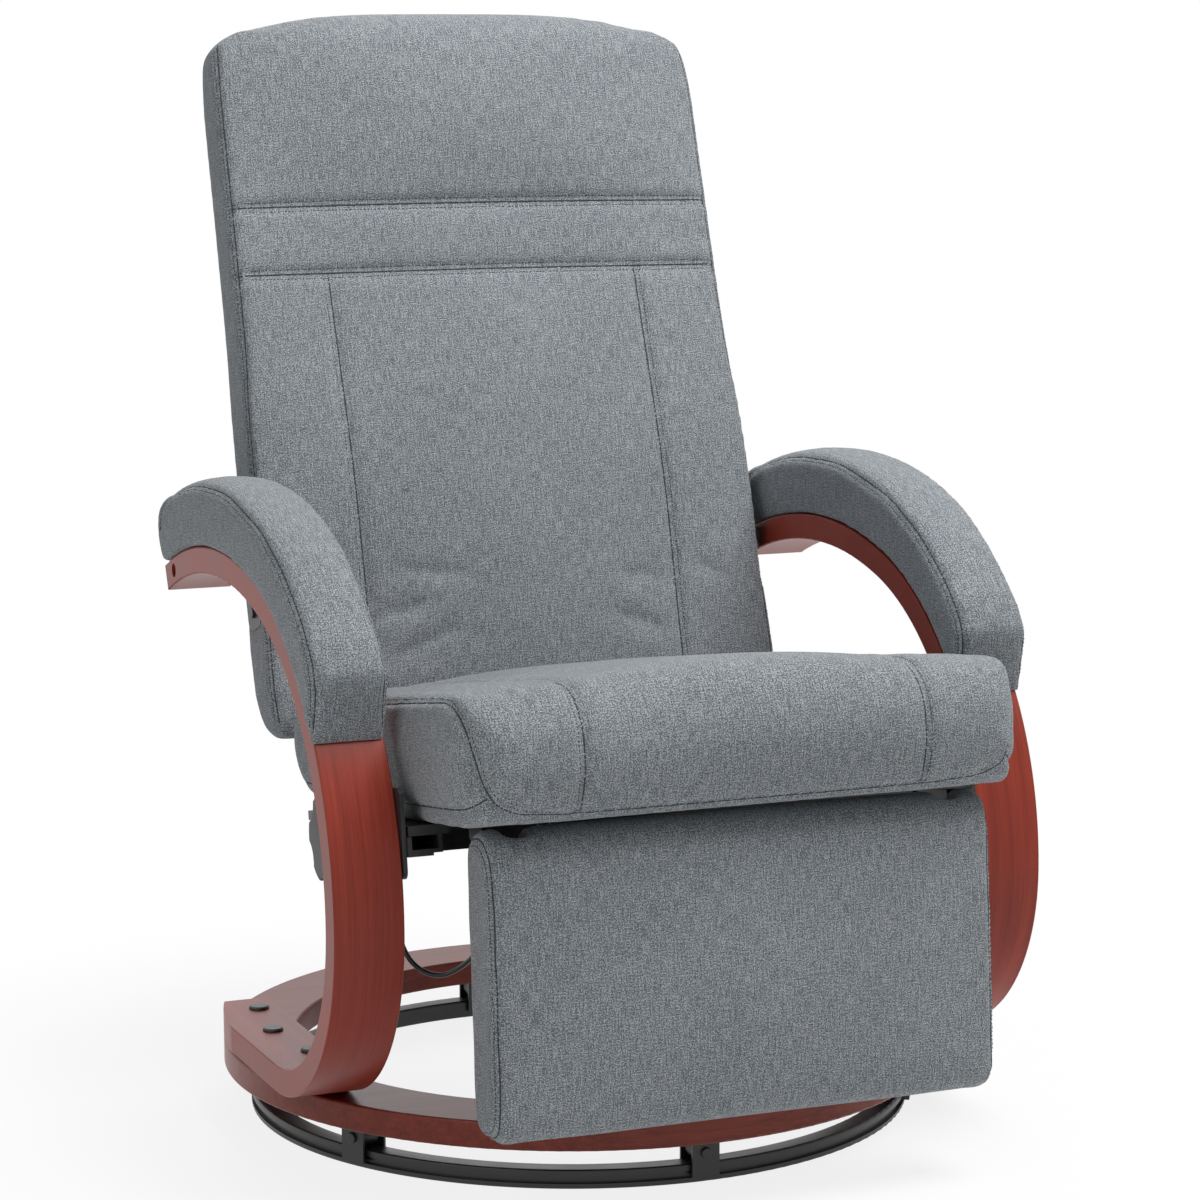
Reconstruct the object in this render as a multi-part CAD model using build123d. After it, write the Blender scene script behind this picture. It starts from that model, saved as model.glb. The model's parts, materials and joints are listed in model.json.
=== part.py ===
from build123d import *
import math
import os

os.makedirs("parts", exist_ok=True)

# Driving dimensions, in millimetres and degrees. The chair faces -Y and stands on Z = 0.
# Everything is drawn about the swivel axis, which lies this far behind the origin.
swivel_y = 17.5

# Floor ring and the rollers that run on it
ring_set_in = 26.3
ring_width = 20.2
ring_height = 18.4
ring_edge = 2.0
groove_depth = 4.0
groove_low = 5.0
groove_high = 12.0
guide_count = 6
guide_first_angle = 28.8
roller_radius = 10.75
roller_width = 22
roller_edge = 1.5
roller_gap = 0.3
roller_head_gap = 0.6
axle_radius = 3.0
axle_head_radius = 5.0
axle_head_height = 3.0
axle_nut_height = 4.0
running_gap = 0.05
seat_gap = 0.3
guide_steel = 2.5
guide_leg_width = 27
guide_flange_length = 64
guide_side_gap = 3.0
guide_lip_height = 3.0
guide_lip_gap = 1.8
bracket_screw_radius = 2.25
bracket_screw_head = 4.5
bracket_screw_head_height = 2.5
bracket_screw_depth = 15
bracket_screw_spread = 23

# Wooden ring
wood_rim = 1.0
wood_width = 70.5
wood_thick = 26.2
wood_edge = 2.5

# Bent arm strips: foot plate, leg and arm in one
strip_width = 66
strip_thick = 26
strip_edge = 1.5
foot_rear = 124
foot_bend_y = -116.5
foot_bend_radius = 189
leg_bend_radius = 295
leg_bend_turn = 73.7
arm_bend_radius = 491
arm_bend_turn = 39.0
foot_bolt_spread = 15.5
foot_bolt_radius = 4.0
foot_bolt_head = 7.0
foot_bolt_head_height = 5.0
foot_bolt_sink = 8.0
foot_bolt_depth = 16
foot_cap_radius = 10.0
foot_cap_height = 3.2
foot_cap_spigot = 7.8
foot_cap_dome = 2.2

# Arm pads
pad_inner_overhang = 2.0
pad_outer_overhang = 6.0
pad_thick = 56
pad_crown = 6.0
pad_edge = 6.0
pad_low_turn = 123.2
pad_bow_turn = 127.9
pad_nose_turn = 130.8
pad_shoulder_turn = 140
pad_crest_turn = 167
pad_rear_run = 4.1
pad_end_gap = 0.6
pad_tail_turn = 0.5
pad_bow_rise = 29
pad_corner_rise = 48
pad_tail_rise = 25
pad_nose_drop = 6.0
pad_crest_rise = 7.0
pad_rear_rise = 4.0
pad_screw_turns = (146, 184)
pad_screw_radius = 2.5
pad_screw_head = 5.5
pad_screw_head_height = 3.0
pad_screw_depth = 18

# Back pivot in the rear end of each arm
pivot_inset = 3.7
pivot_pin_radius = 4.0
pivot_bush_radius = 7.0
pivot_bush_length = 40
pivot_pin_short = 2.0
pivot_collar_radius = 11.0
recline_max = 35

# Seat: its own frame starts at the front of the rails and slopes down to the rear
seat_leg_turn = 108
seat_leg_y = -21.3
seat_leg_z = 18.36
seat_tilt = 8
seat_arm_gap = 12
seat_half_width = 275
seat_nose = -146
seat_nose_depth = 56
seat_rear = 388
seat_rear_round = 30
seat_height = 104
seat_crown = 20
seat_rear_drop = 16
seat_tuck = 11
seat_waist = 2
seat_plan_round = 34
seat_channel_x = 165
seat_channel_depth = 5
seat_skirt = 11.7
seat_travel = 87

# Seat board, runners and rails
board_thick = 12
board_rim = 25
board_front = -20
board_rear = 376
board_corner = 30
runner_set_in = 1.8
runner_width = 38
runner_thick = 9
runner_front = 2
runner_rear = 300
rail_wall = 4.0
rail_width = 32.8
rail_height = 18
rail_foot_width = 24
rail_floor = 3.5
rail_sole = 2.5
rail_length = 290
slide_gap = 0.4
glide_length = 60
glide_corner = 3.0
glide_first = 130
glide_second = 250
cross_tube_size = 20
cross_tube_wall = 2
cross_tube_at = 276
front_bar_at = 22
front_bar_width = 30
front_bar_thick = 8

# Side plates on the inner edges of the legs
side_plate_steel = 4.0
side_plate_gap = 0.2
side_plate_corner = 8.0
side_plate_front = 4.0
side_plate_nose = 38
side_plate_top = 22
side_plate_slope = 18
side_plate_drop = 20
side_plate_rim = 4.0
side_plate_tail = 45
plate_screw_turns = (103, 108, 113)
plate_screw_radius = 3.0
plate_screw_head = 6.0
plate_screw_sink = 3.0
plate_screw_length = 45

# Lock knob
knob_at = 125
knob_radius = 43
knob_lobes = 6
knob_lobe_radius = 20
knob_lobe_depth = 6
knob_depth = 32
knob_hub_radius = 15
knob_hub_length = 9.6
knob_plate_gap = 4.0
knob_edge = 3.0
stud_radius = 4.0

# Backrest: its own frame starts at the bottom of the front seam
hinge_set_back = 35.2
hinge_height = 180.0
back_lean = 18
back_height = 760
back_arm_gap = 8.0
back_taper = 14
back_pull_in = 3.0
back_side_bulge = 1.5
back_thick_bottom = 70
back_thick_top = 62
back_crown = 16
head_crown = 22
band_crown = 11
seam_crown = 6
back_rear_crown = 8
back_channel_x = 169
back_channel_share = 0.62
back_channel_depth = 4
band_low = 472
band_high = 543
lumbar_full = 96
lumbar_middle = 260
lumbar_draw = 34
# Rounded lower edge: height, front set-back, share of the thickness, side set-back
back_foot_cuts = ((0, 10, 0.54, 12), (14, 3, 0.75, 4), (48, 0, 0.9, 0))
# Head pillow: share of its height, share of its crown
head_cuts = ((0.16, 0.8), (0.42, 1.0), (0.68, 0.85))
# Rounded top: share of the pillow's height, front set-back, shares of thickness, width and crown
crest_cuts = ((0.86, 2, 1.0, 0.99, 0.6), (0.945, 8, 0.9, 0.88, 0.4), (0.985, 16, 0.78, 0.54, 0.2),
              (1.0, 24, 0.66, 0.22, 0.1))
pocket_rim = 50
pocket_low = 75
pocket_high = 690
pocket_floor = 52
pocket_corner = 25
frame_thick = 12
frame_bar = 60
panel_thick = 7

# Back hinge plates and drive arms
hinge_steel = 4.0
hinge_width = 44
hinge_length = 130
hinge_corner = 12
hinge_screw_radius = 3.0
hinge_screw_head = 5.5
hinge_screw_head_height = 3.0
hinge_screw_length = 30
hinge_screw_spread = 48
arm_steel = 5.0
drive_arm_x = 150
drive_rod_radius = 6.0
drive_rod_y = 420
drive_rod_z = 30
drive_slot_play = 2.6
drive_margin = 9.0
drive_neck_front = 25
drive_neck_top = 118
drive_rod_end = 4.0
rear_arm_x = 170
rear_arm_eye = 13
rear_arm_seat = 60
rear_arm_depth = 14
rear_arm_elbow = 24

# Footrest: its own frame starts on its hinge axis
foot_eye_y = -71.5
foot_eye_z = -51.5
footrest_lean = 4
footrest_set_in = 29
footrest_half_thick = 33.5
footrest_length = 242
footrest_crown = 6
footrest_bottom_round = 20
footrest_board_thick = 9
footrest_board_rim = 14
footrest_pin_radius = 4.0
footrest_eye = 12
footrest_hinge_gap = 12
footrest_bracket_drop = 8.0
footrest_bracket_foot = 18
footrest_arm_eye = 11
footrest_arm_depth = 12
footrest_pin_end = 1.5
footrest_bracket_set_in = 34
footrest_arm_gap = 3.0
footrest_arm_reach = 85
footrest_pocket_side = 4.0
footrest_pocket_front = 15
# Cuts from each end to the middle: share of the half width, inset, share of the crown
footrest_cuts = ((1, 9, 0.1), (0.97, 2, 0.2), (0.6, 0, 0.6), (0, 0, 1))

# Release cable: it hangs between two glands under the seat board
cable_radius = 2.5
gland_radius = 6.0
gland_length = 16
gland_run = 34
gland_runner_gap = 9.0
gland_left_y = 180
gland_right_set_in = 100
gland_right_y = 8.0
cable_points = ((-236, -139, 246), (-238, -142, 212), (-226, -147, 184), (-203, -155, 172),
                (-184, -170, 184), (-173, -192, 207), (-162, -221, 234), (-153, -257, 264))

# Sizes and places that several pieces share, from the seat's width outwards
strip_inner_x = seat_half_width + seat_arm_gap
strip_outer_x = strip_inner_x + strip_width
wood_outer_radius = strip_outer_x + wood_rim
wood_inner_radius = wood_outer_radius - wood_width
ring_outer_radius = wood_outer_radius - ring_set_in
ring_inner_radius = ring_outer_radius - ring_width
back_half_bottom = strip_inner_x - back_arm_gap
back_half_top = back_half_bottom - back_taper
pocket_half_width = back_half_top - pocket_rim
board_half_width = seat_half_width - board_rim
footrest_half_width = seat_half_width - footrest_set_in
footrest_bracket_x = footrest_half_width - footrest_bracket_set_in
footrest_arm_x = footrest_bracket_x - footrest_arm_gap - arm_steel
plate_outer_x = strip_inner_x - side_plate_gap
rail_outer_x = plate_outer_x - side_plate_steel
runner_inner_x = rail_outer_x - runner_set_in - runner_width
gland_left = (gland_runner_gap - runner_inner_x, gland_left_y)
gland_right = (gland_right_set_in - board_half_width, gland_right_y)
axle_z = ring_height + roller_gap + roller_radius
wood_bottom = axle_z + roller_radius + roller_head_gap + guide_steel
wood_top = wood_bottom + wood_thick
ring_mean_radius = (ring_inner_radius + ring_outer_radius) / 2
foot_top = wood_top + strip_thick
foot_bolt_at = (wood_inner_radius + wood_outer_radius) / 2
runner_top = -board_thick
runner_bottom = runner_top - runner_thick
rail_top = runner_bottom - slide_gap
rail_bottom = rail_top - rail_height
rail_inner_x = rail_outer_x - rail_width
slot_inner_x = rail_inner_x + rail_wall
slot_outer_x = rail_outer_x - rail_wall
slot_floor = rail_bottom + rail_floor + rail_sole


def save(name, *shapes):
    """Write one piece, or one group of like pieces, in the chair's own frame."""
    solids = [Pos(0, swivel_y, 0) * solid for shape in shapes for solid in shape.solids()]
    export_step(solids[0] if len(solids) == 1 else Compound(solids), f"parts/{name}.step")


def left_of(shape):
    return mirror(shape, about=Plane.YZ)


def both_sides(*shapes):
    return [*shapes, *(left_of(shape) for shape in shapes)]


def cross_plate(face, x_low, x_high):
    """A plate with its outline drawn in (y, z), between two X positions."""
    return extrude(Plane.YZ.offset(x_low) * face, amount=x_high - x_low)


def x_rod(radius, y, z, x_low, x_high):
    return cross_plate(Pos(y, z) * Circle(radius), x_low, x_high)


def outline(*points):
    return make_face(Polyline(*points, close=True))


def rounded_outline(radius, *points):
    face = outline(*points)
    return fillet(face.vertices(), radius)


def tilted(y, z, angle):
    """A (y, z) pair turned from a tilted frame into the chair's directions."""
    turn = math.radians(angle)
    return (y * math.cos(turn) + z * math.sin(turn), z * math.cos(turn) - y * math.sin(turn))


def untilted(y, z, angle):
    return tilted(y, z, -angle)


def seat_to_chair(y, z):
    along, up = tilted(y, z, seat_tilt)
    return (seat_ref_y + along, seat_ref_z + up)


def chair_to_back(y, z):
    return untilted(y - back_ref_y, z - back_ref_z, back_lean)


# Line of the bent strip: three tangent bends that start at the front of the foot plate
bends = ((foot_bend_radius, 90), (leg_bend_radius, leg_bend_turn), (arm_bend_radius, arm_bend_turn))
strip_turn = sum(turn for _, turn in bends)
pivot_turn = strip_turn - pivot_inset
pad_end_turn = strip_turn - pad_end_gap
pad_rear_turn = pad_end_turn - pad_rear_run


def strip_at(turn, out):
    """Point (y, z) at a turn along the strip, measured out from its convex face."""
    y, z = foot_bend_y, wood_top
    heading = 180
    for radius, bend_turn in bends:
        side = math.radians(heading - 90)
        centre = (y + radius * math.cos(side), z + radius * math.sin(side))
        part = min(turn, bend_turn)
        ray = math.radians(heading - part + 90)
        last = turn <= bend_turn or radius == arm_bend_radius
        reach = radius + out if last else radius
        y, z = centre[0] + reach * math.cos(ray), centre[1] + reach * math.sin(ray)
        if last:
            return (y, z)
        turn -= bend_turn
        heading -= bend_turn


def strip_edges(out, first, last):
    """Arcs along the strip between two turns, one for each bend that they cross."""
    stops = [0, bends[0][1], bends[0][1] + bends[1][1], strip_turn]
    edges = []
    for low, high in zip(stops, stops[1:]):
        start, end = max(low, first), min(high, last)
        if end > start:
            middle = (start + end) / 2
            edges.append(ThreePointArc(strip_at(start, out), strip_at(middle, out), strip_at(end, out)))
    return edges


# The seat is placed from the legs, the back from its pivot and the footrest from the seat
leg_y, leg_z = strip_at(seat_leg_turn, -strip_thick / 2)
seat_ref_y, seat_ref_z = leg_y + seat_leg_y, leg_z + seat_leg_z
pivot_y, pivot_z = strip_at(pivot_turn, -strip_thick / 2)
hinge_along, hinge_up = tilted(hinge_set_back, hinge_height, back_lean)
back_ref_y, back_ref_z = pivot_y - hinge_along, pivot_z - hinge_up
foot_axis_y, foot_axis_z = seat_to_chair(foot_eye_y, foot_eye_z)
seat_place = Location((0, seat_ref_y, seat_ref_z), (-seat_tilt, 0, 0))
back_place = Location((0, back_ref_y, back_ref_z), (-back_lean, 0, 0))
foot_place = Location((0, foot_axis_y, foot_axis_z), (-footrest_lean, 0, 0))


def reclined(y, z, angle):
    """A (y, z) point carried with the back as it tilts rearwards about its pivot."""
    dy, dz = tilted(y - pivot_y, z - pivot_z, angle)
    return (pivot_y + dy, pivot_z + dz)


# Floor ring, rollers and brackets
def make_floor_ring():
    profile = rounded_outline(
        ring_edge,
        (ring_inner_radius, 0),
        (ring_outer_radius, 0),
        (ring_outer_radius, ring_height),
        (ring_inner_radius, ring_height),
    )
    groove = Pos(ring_outer_radius, (groove_low + groove_high) / 2) * Rectangle(
        2 * groove_depth, groove_high - groove_low
    )
    return revolve(Plane.XZ * (profile - groove), Axis.Z)


def guide_places():
    step = 360 / guide_count
    return [Rot(0, 0, guide_first_angle + step * index) for index in range(guide_count)]


guide_inner_face = ring_inner_radius - guide_side_gap
guide_outer_face = ring_outer_radius + guide_side_gap
flange_bottom = wood_bottom - guide_steel


def radial_rod(radius, low, high, z):
    return Pos((low + high) / 2, 0, z) * Rot(0, 90, 0) * Cylinder(radius, high - low)


def make_roller():
    low, high = ring_mean_radius - roller_width / 2, ring_mean_radius + roller_width / 2
    wheel = radial_rod(roller_radius, low, high, axle_z)
    wheel = fillet(wheel.edges().filter_by(GeomType.CIRCLE), roller_edge)
    return wheel - radial_rod(axle_radius + running_gap, guide_inner_face, guide_outer_face, axle_z)


def make_bracket():
    lip_low = groove_low + guide_lip_gap
    lip_reach = groove_depth - guide_lip_gap + guide_side_gap
    legs_low = lip_low
    leg_height = wood_bottom - legs_low
    inner = Pos(guide_inner_face - guide_steel / 2, 0, legs_low + leg_height / 2) * Box(
        guide_steel, guide_leg_width, leg_height
    )
    outer = Pos(guide_outer_face + guide_steel / 2, 0, legs_low + leg_height / 2) * Box(
        guide_steel, guide_leg_width, leg_height
    )
    span = guide_outer_face - guide_inner_face + 2 * guide_steel
    flange_middle = Pos(ring_mean_radius, 0, wood_bottom - guide_steel / 2)
    flange = flange_middle * Box(span, guide_flange_length, guide_steel)
    lip = Pos(guide_outer_face - lip_reach / 2, 0, lip_low + guide_lip_height / 2) * Box(
        lip_reach, guide_leg_width, guide_lip_height
    )
    bracket = inner + outer + flange + lip
    low, high = guide_inner_face - 2 * guide_steel, guide_outer_face + 2 * guide_steel
    bracket -= radial_rod(axle_radius + running_gap, low, high, axle_z)
    for side in (-1, 1):
        bracket -= Pos(ring_mean_radius, side * bracket_screw_spread, flange_bottom) * Cylinder(
            bracket_screw_radius + running_gap, 3 * guide_steel
        )
    return bracket


def make_axle():
    start = guide_inner_face - guide_steel
    end = guide_outer_face + guide_steel
    shank = radial_rod(axle_radius, start - axle_nut_height, end, axle_z)
    head = radial_rod(axle_head_radius, end, end + axle_head_height, axle_z)
    nut_at = Pos(start - axle_nut_height, 0, axle_z) * Rot(0, 90, 0)
    nut = extrude(nut_at * RegularPolygon(axle_head_radius, 6), amount=axle_nut_height)
    return shank + fillet(head.edges().group_by(Axis.X)[-1], axle_head_height / 3) + nut


def make_bracket_screws():
    screws = []
    for side in (-1, 1):
        spot = Pos(ring_mean_radius, side * bracket_screw_spread, 0)
        head_z = flange_bottom - bracket_screw_head_height / 2
        head = Pos(0, 0, head_z) * Cylinder(bracket_screw_head, bracket_screw_head_height)
        shank_top = wood_bottom + bracket_screw_depth
        shank = Pos(0, 0, (flange_bottom + shank_top) / 2) * Cylinder(
            bracket_screw_radius, shank_top - flange_bottom
        )
        screws.append(spot * (head + shank))
    return screws


def foot_bolt_places():
    angles = (-foot_bolt_spread, 0, foot_bolt_spread)
    return [Rot(0, 0, angle) * Pos(foot_bolt_at, 0, 0) for angle in angles]


def make_wood_ring():
    profile = rounded_outline(
        wood_edge,
        (wood_inner_radius, wood_bottom),
        (wood_outer_radius, wood_bottom),
        (wood_outer_radius, wood_top),
        (wood_inner_radius, wood_top),
    )
    ring = revolve(Plane.XZ * profile, Axis.Z)
    pilot = Cylinder(bracket_screw_radius + running_gap, bracket_screw_depth + seat_gap)
    for place in guide_places():
        for side in (-1, 1):
            middle = wood_bottom + (bracket_screw_depth + seat_gap) / 2
            ring -= place * Pos(ring_mean_radius, side * bracket_screw_spread, middle) * pilot
    hole_depth = foot_bolt_depth + seat_gap
    hole = Pos(0, 0, wood_top - hole_depth / 2) * Cylinder(foot_bolt_radius + running_gap, hole_depth)
    for place in foot_bolt_places():
        ring -= place * hole
        ring -= left_of(place * hole)
    return ring


# Arm strips with their bolts and pads
def make_arm_strip():
    inside = -strip_thick
    end = strip_turn
    edges = [Line((foot_rear, wood_top), (foot_bend_y, wood_top))]
    edges += strip_edges(0, 0, end)
    edges += [Line(strip_at(end, 0), strip_at(end, inside))]
    edges += strip_edges(inside, 0, end)
    edges += [Line((foot_bend_y, foot_top), (foot_rear, foot_top))]
    edges += [Line((foot_rear, foot_top), (foot_rear, wood_top))]
    strip = cross_plate(make_face(edges), strip_inner_x, strip_outer_x)
    sides = strip.faces().sort_by(Axis.X)
    strip = fillet([*sides[0].edges(), *sides[-1].edges()], strip_edge)
    corner = Pos(strip_outer_x, foot_rear / 2, wood_top) * Box(strip_width, foot_rear, 3 * strip_thick)
    strip -= corner - Cylinder(wood_outer_radius, 20 * strip_thick)
    for place in foot_bolt_places():
        strip -= place * Pos(0, 0, foot_top) * Cylinder(foot_bolt_radius + running_gap, 3 * strip_thick)
        strip -= place * Pos(0, 0, foot_top) * Cylinder(foot_cap_spigot + running_gap, 2 * foot_bolt_sink)
    strip -= x_rod(pivot_bush_radius + running_gap, pivot_y, pivot_z, strip_inner_x, strip_outer_x)
    for turn in plate_screw_turns:
        y, z = strip_at(turn, -strip_thick / 2)
        end = strip_inner_x + plate_screw_length
        strip -= x_rod(plate_screw_radius + running_gap, y, z, strip_inner_x, end)
    for hole in pad_screw_holes():
        strip -= hole
    return strip


def make_foot_bolt(place):
    head_low = foot_top - foot_bolt_sink
    low = wood_top - foot_bolt_depth
    shank = Pos(0, 0, (low + head_low) / 2) * Cylinder(foot_bolt_radius, head_low - low)
    head = Pos(0, 0, head_low + foot_bolt_head_height / 2) * Cylinder(foot_bolt_head, foot_bolt_head_height)
    return place * (shank + head)


def make_foot_cap(place):
    spigot_low = foot_top - foot_bolt_sink + foot_bolt_head_height
    spigot = Pos(0, 0, (spigot_low + foot_top) / 2) * Cylinder(foot_cap_spigot, foot_top - spigot_low)
    dome = Pos(0, 0, foot_top + foot_cap_height / 2) * Cylinder(foot_cap_radius, foot_cap_height)
    dome = fillet(dome.edges().group_by(Axis.Z)[-1], foot_cap_dome)
    return place * (spigot + dome)


def pad_face(inset, crown):
    """Side outline of the arm pad: it fills towards the top and tapers to its lower end."""
    top = pad_thick + crown - inset
    low, high = pad_low_turn + inset / 8, pad_end_turn - inset / 12
    start = strip_at(low, seat_gap)
    bow = strip_at(pad_bow_turn, pad_bow_rise + crown / 2 - inset)
    nose = strip_at(pad_nose_turn, top - pad_nose_drop)
    brow = strip_at((pad_nose_turn + pad_shoulder_turn) / 2, top - pad_nose_drop / 12)
    shoulder = strip_at(pad_shoulder_turn, top)
    rise = strip_at((pad_shoulder_turn + pad_crest_turn) / 2, top + pad_crest_rise * 0.6)
    crest = strip_at(pad_crest_turn, top + pad_crest_rise)
    fall = strip_at((pad_crest_turn + pad_rear_turn) / 2, top + pad_crest_rise)
    rear = strip_at(pad_rear_turn, top + pad_rear_rise)
    corner = strip_at(high - pad_tail_turn / 3, pad_corner_rise + crown - inset)
    tail = strip_at(high + pad_tail_turn, pad_tail_rise)
    edges = [
        ThreePointArc(start, bow, nose),
        ThreePointArc(nose, brow, shoulder),
        ThreePointArc(shoulder, rise, crest),
        ThreePointArc(crest, fall, rear),
        ThreePointArc(rear, corner, tail),
        Line(tail, strip_at(high, seat_gap)),
    ]
    edges += strip_edges(seat_gap, low, high)
    return make_face(edges)


def make_arm_pad():
    x_low = strip_inner_x - pad_inner_overhang
    x_high = strip_outer_x + pad_outer_overhang
    middle = (x_low + x_high) / 2
    stations = (
        (x_low, pad_edge, 0),
        (x_low + pad_edge, 0, 0),
        (middle, 0, pad_crown),
        (x_high - pad_edge, 0, 0),
        (x_high, pad_edge, 0),
    )
    sections = [Plane.YZ.offset(x) * pad_face(inset, crown) for x, inset, crown in stations]
    pad = loft(sections, ruled=True)
    for hole in pad_screw_holes():
        pad -= hole
    return pad


def pad_screw(turn, radius, head, length):
    """A wood screw that comes up through the strip along its normal."""
    y, z = strip_at(turn, -strip_thick)
    x = strip_inner_x + strip_width / 2
    place = Location((x, y, z), (180 - turn, 0, 0))
    shank = Pos(0, 0, length / 2) * Cylinder(radius, length)
    if head:
        neck = pad_screw_head_height + running_gap
        shank += Pos(0, 0, -neck / 2) * Cylinder(radius, neck)
        shank += Pos(0, 0, -running_gap - pad_screw_head_height / 2) * Cylinder(head, pad_screw_head_height)
    return place * shank


def pad_screw_holes():
    length = strip_thick + pad_screw_depth + seat_gap
    return [pad_screw(turn, pad_screw_radius + running_gap, 0, length) for turn in pad_screw_turns]


def make_pad_screws():
    length = strip_thick + pad_screw_depth
    return [pad_screw(turn, pad_screw_radius, pad_screw_head, length) for turn in pad_screw_turns]


# Side plates, rails and lock knob
knob_z = (rail_top + slot_floor) / 2


def make_side_plate():
    """Plate on the leg's inner edge: its nose follows the leg and its tail carries the rail."""
    nose = side_plate_front + side_plate_nose
    tail = knob_at + side_plate_tail
    face = rounded_outline(
        side_plate_corner,
        (side_plate_front, side_plate_top),
        (nose, side_plate_top),
        (nose + side_plate_slope, rail_top + side_plate_rim),
        (tail, rail_top + side_plate_rim / 2),
        (tail, rail_bottom - side_plate_rim),
        (nose + side_plate_slope, rail_bottom - side_plate_rim),
        (nose, rail_bottom - side_plate_drop),
        (side_plate_front, rail_bottom - side_plate_drop),
    )
    plate = seat_place * cross_plate(face, rail_outer_x, plate_outer_x)
    for turn in plate_screw_turns:
        y, z = strip_at(turn, -strip_thick / 2)
        plate -= x_rod(plate_screw_radius + running_gap, y, z, rail_outer_x, plate_outer_x)
        plate -= screw_cone(y, z, running_gap)
    return plate


def screw_cone(y, z, extra):
    """Countersunk head that ends flush with the plate's inner side."""
    place = Location((rail_outer_x + plate_screw_sink / 2, y, z), (0, 90, 0))
    return place * Cone(plate_screw_head + extra, plate_screw_radius + extra, plate_screw_sink)


def make_plate_screws():
    screws = []
    for turn in plate_screw_turns:
        y, z = strip_at(turn, -strip_thick / 2)
        end = strip_inner_x + plate_screw_length - seat_gap
        shank = x_rod(plate_screw_radius, y, z, rail_outer_x + side_plate_steel / 2, end)
        screws.append(shank + screw_cone(y, z, 0))
    return screws


def make_rail():
    face = outline(
        (rail_outer_x, rail_top),
        (rail_outer_x, rail_bottom),
        (rail_outer_x - rail_foot_width, rail_bottom),
        (rail_outer_x - rail_foot_width, rail_bottom + rail_sole),
        (rail_inner_x, rail_bottom + rail_sole),
        (rail_inner_x, rail_top),
        (slot_inner_x, rail_top),
        (slot_inner_x, slot_floor),
        (slot_outer_x, slot_floor),
        (slot_outer_x, rail_top),
    )
    return seat_place * extrude(Plane.XZ * face, amount=-rail_length)


def knob_hole():
    return x_rod(stud_radius + running_gap, *seat_to_chair(knob_at, knob_z), slot_outer_x, plate_outer_x)


def make_cross_tube():
    half = cross_tube_size / 2
    tube = Box(2 * rail_outer_x, cross_tube_size, cross_tube_size)
    bore = Box(2 * rail_outer_x, cross_tube_size - 2 * cross_tube_wall, cross_tube_size - 2 * cross_tube_wall)
    return seat_place * Pos(0, cross_tube_at, rail_bottom - half) * (tube - bore)


knob_low_x = plate_outer_x + knob_plate_gap


def make_knob():
    """Lobed clamp knob on the outer side of the left plate."""
    face = Circle(knob_radius)
    for index in range(knob_lobes):
        turn = math.radians(360 / knob_lobes * index)
        reach = knob_radius + knob_lobe_radius - knob_lobe_depth
        face -= Pos(reach * math.cos(turn), reach * math.sin(turn)) * Circle(knob_lobe_radius)
    face = fillet(face.vertices(), knob_edge)
    head = Pos(0, 0, knob_hub_length) * extrude(face, amount=knob_depth - knob_hub_length)
    head = fillet(head.edges().group_by(Axis.Z)[-1], knob_edge)
    hub = Pos(0, 0, knob_hub_length / 2) * Cylinder(knob_hub_radius, knob_hub_length)
    bore = Cylinder(stud_radius, knob_depth)
    y, z = seat_to_chair(knob_at, knob_z)
    return Location((-knob_low_x, y, z), (0, -90, 0)) * (head + hub - bore)


def make_stud():
    y, z = seat_to_chair(knob_at, knob_z)
    tip = slot_outer_x + seat_gap
    return left_of(x_rod(stud_radius, y, z, tip, knob_low_x + knob_depth / 2))


# Bushes and hinge of the back
def half_width_at(z):
    share = z / back_height
    taper = back_half_bottom + (back_half_top - back_half_bottom) * share
    return taper - back_pull_in * math.sin(math.pi * min(max(share, 0), 1))


def back_thick_at(z):
    return back_thick_bottom + (back_thick_top - back_thick_bottom) * z / back_height


hinge_outer_x = half_width_at(hinge_height) + back_side_bulge
hinge_inner_x = hinge_outer_x - hinge_steel


def make_bush():
    end = strip_inner_x + pivot_bush_length
    collar = x_rod(pivot_collar_radius, pivot_y, pivot_z, hinge_outer_x + slide_gap, strip_inner_x)
    sleeve = x_rod(pivot_bush_radius, pivot_y, pivot_z, strip_inner_x, end)
    bore = x_rod(pivot_pin_radius + running_gap, pivot_y, pivot_z, hinge_outer_x, end)
    return collar + sleeve - bore


def make_pivot_pin():
    end = strip_inner_x + pivot_bush_length - pivot_pin_short
    return x_rod(pivot_pin_radius, pivot_y, pivot_z, hinge_outer_x, end)


hinge_screw_spots = [(hinge_set_back, hinge_height + side * hinge_screw_spread) for side in (-1, 1)]


def make_hinge_plate():
    face = Pos(hinge_set_back, hinge_height) * RectangleRounded(hinge_width, hinge_length, hinge_corner)
    plate = cross_plate(face, hinge_inner_x, hinge_outer_x)
    for y, z in hinge_screw_spots:
        plate -= x_rod(hinge_screw_radius + running_gap, y, z, hinge_inner_x, hinge_outer_x)
    return back_place * plate


def make_hinge_screws():
    screws = []
    for y, z in hinge_screw_spots:
        shank = x_rod(hinge_screw_radius, y, z, hinge_outer_x - hinge_screw_length, hinge_outer_x)
        head = x_rod(hinge_screw_head, y, z, hinge_outer_x, hinge_outer_x + hinge_screw_head_height)
        screws.append(back_place * (shank + head))
    return screws


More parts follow.
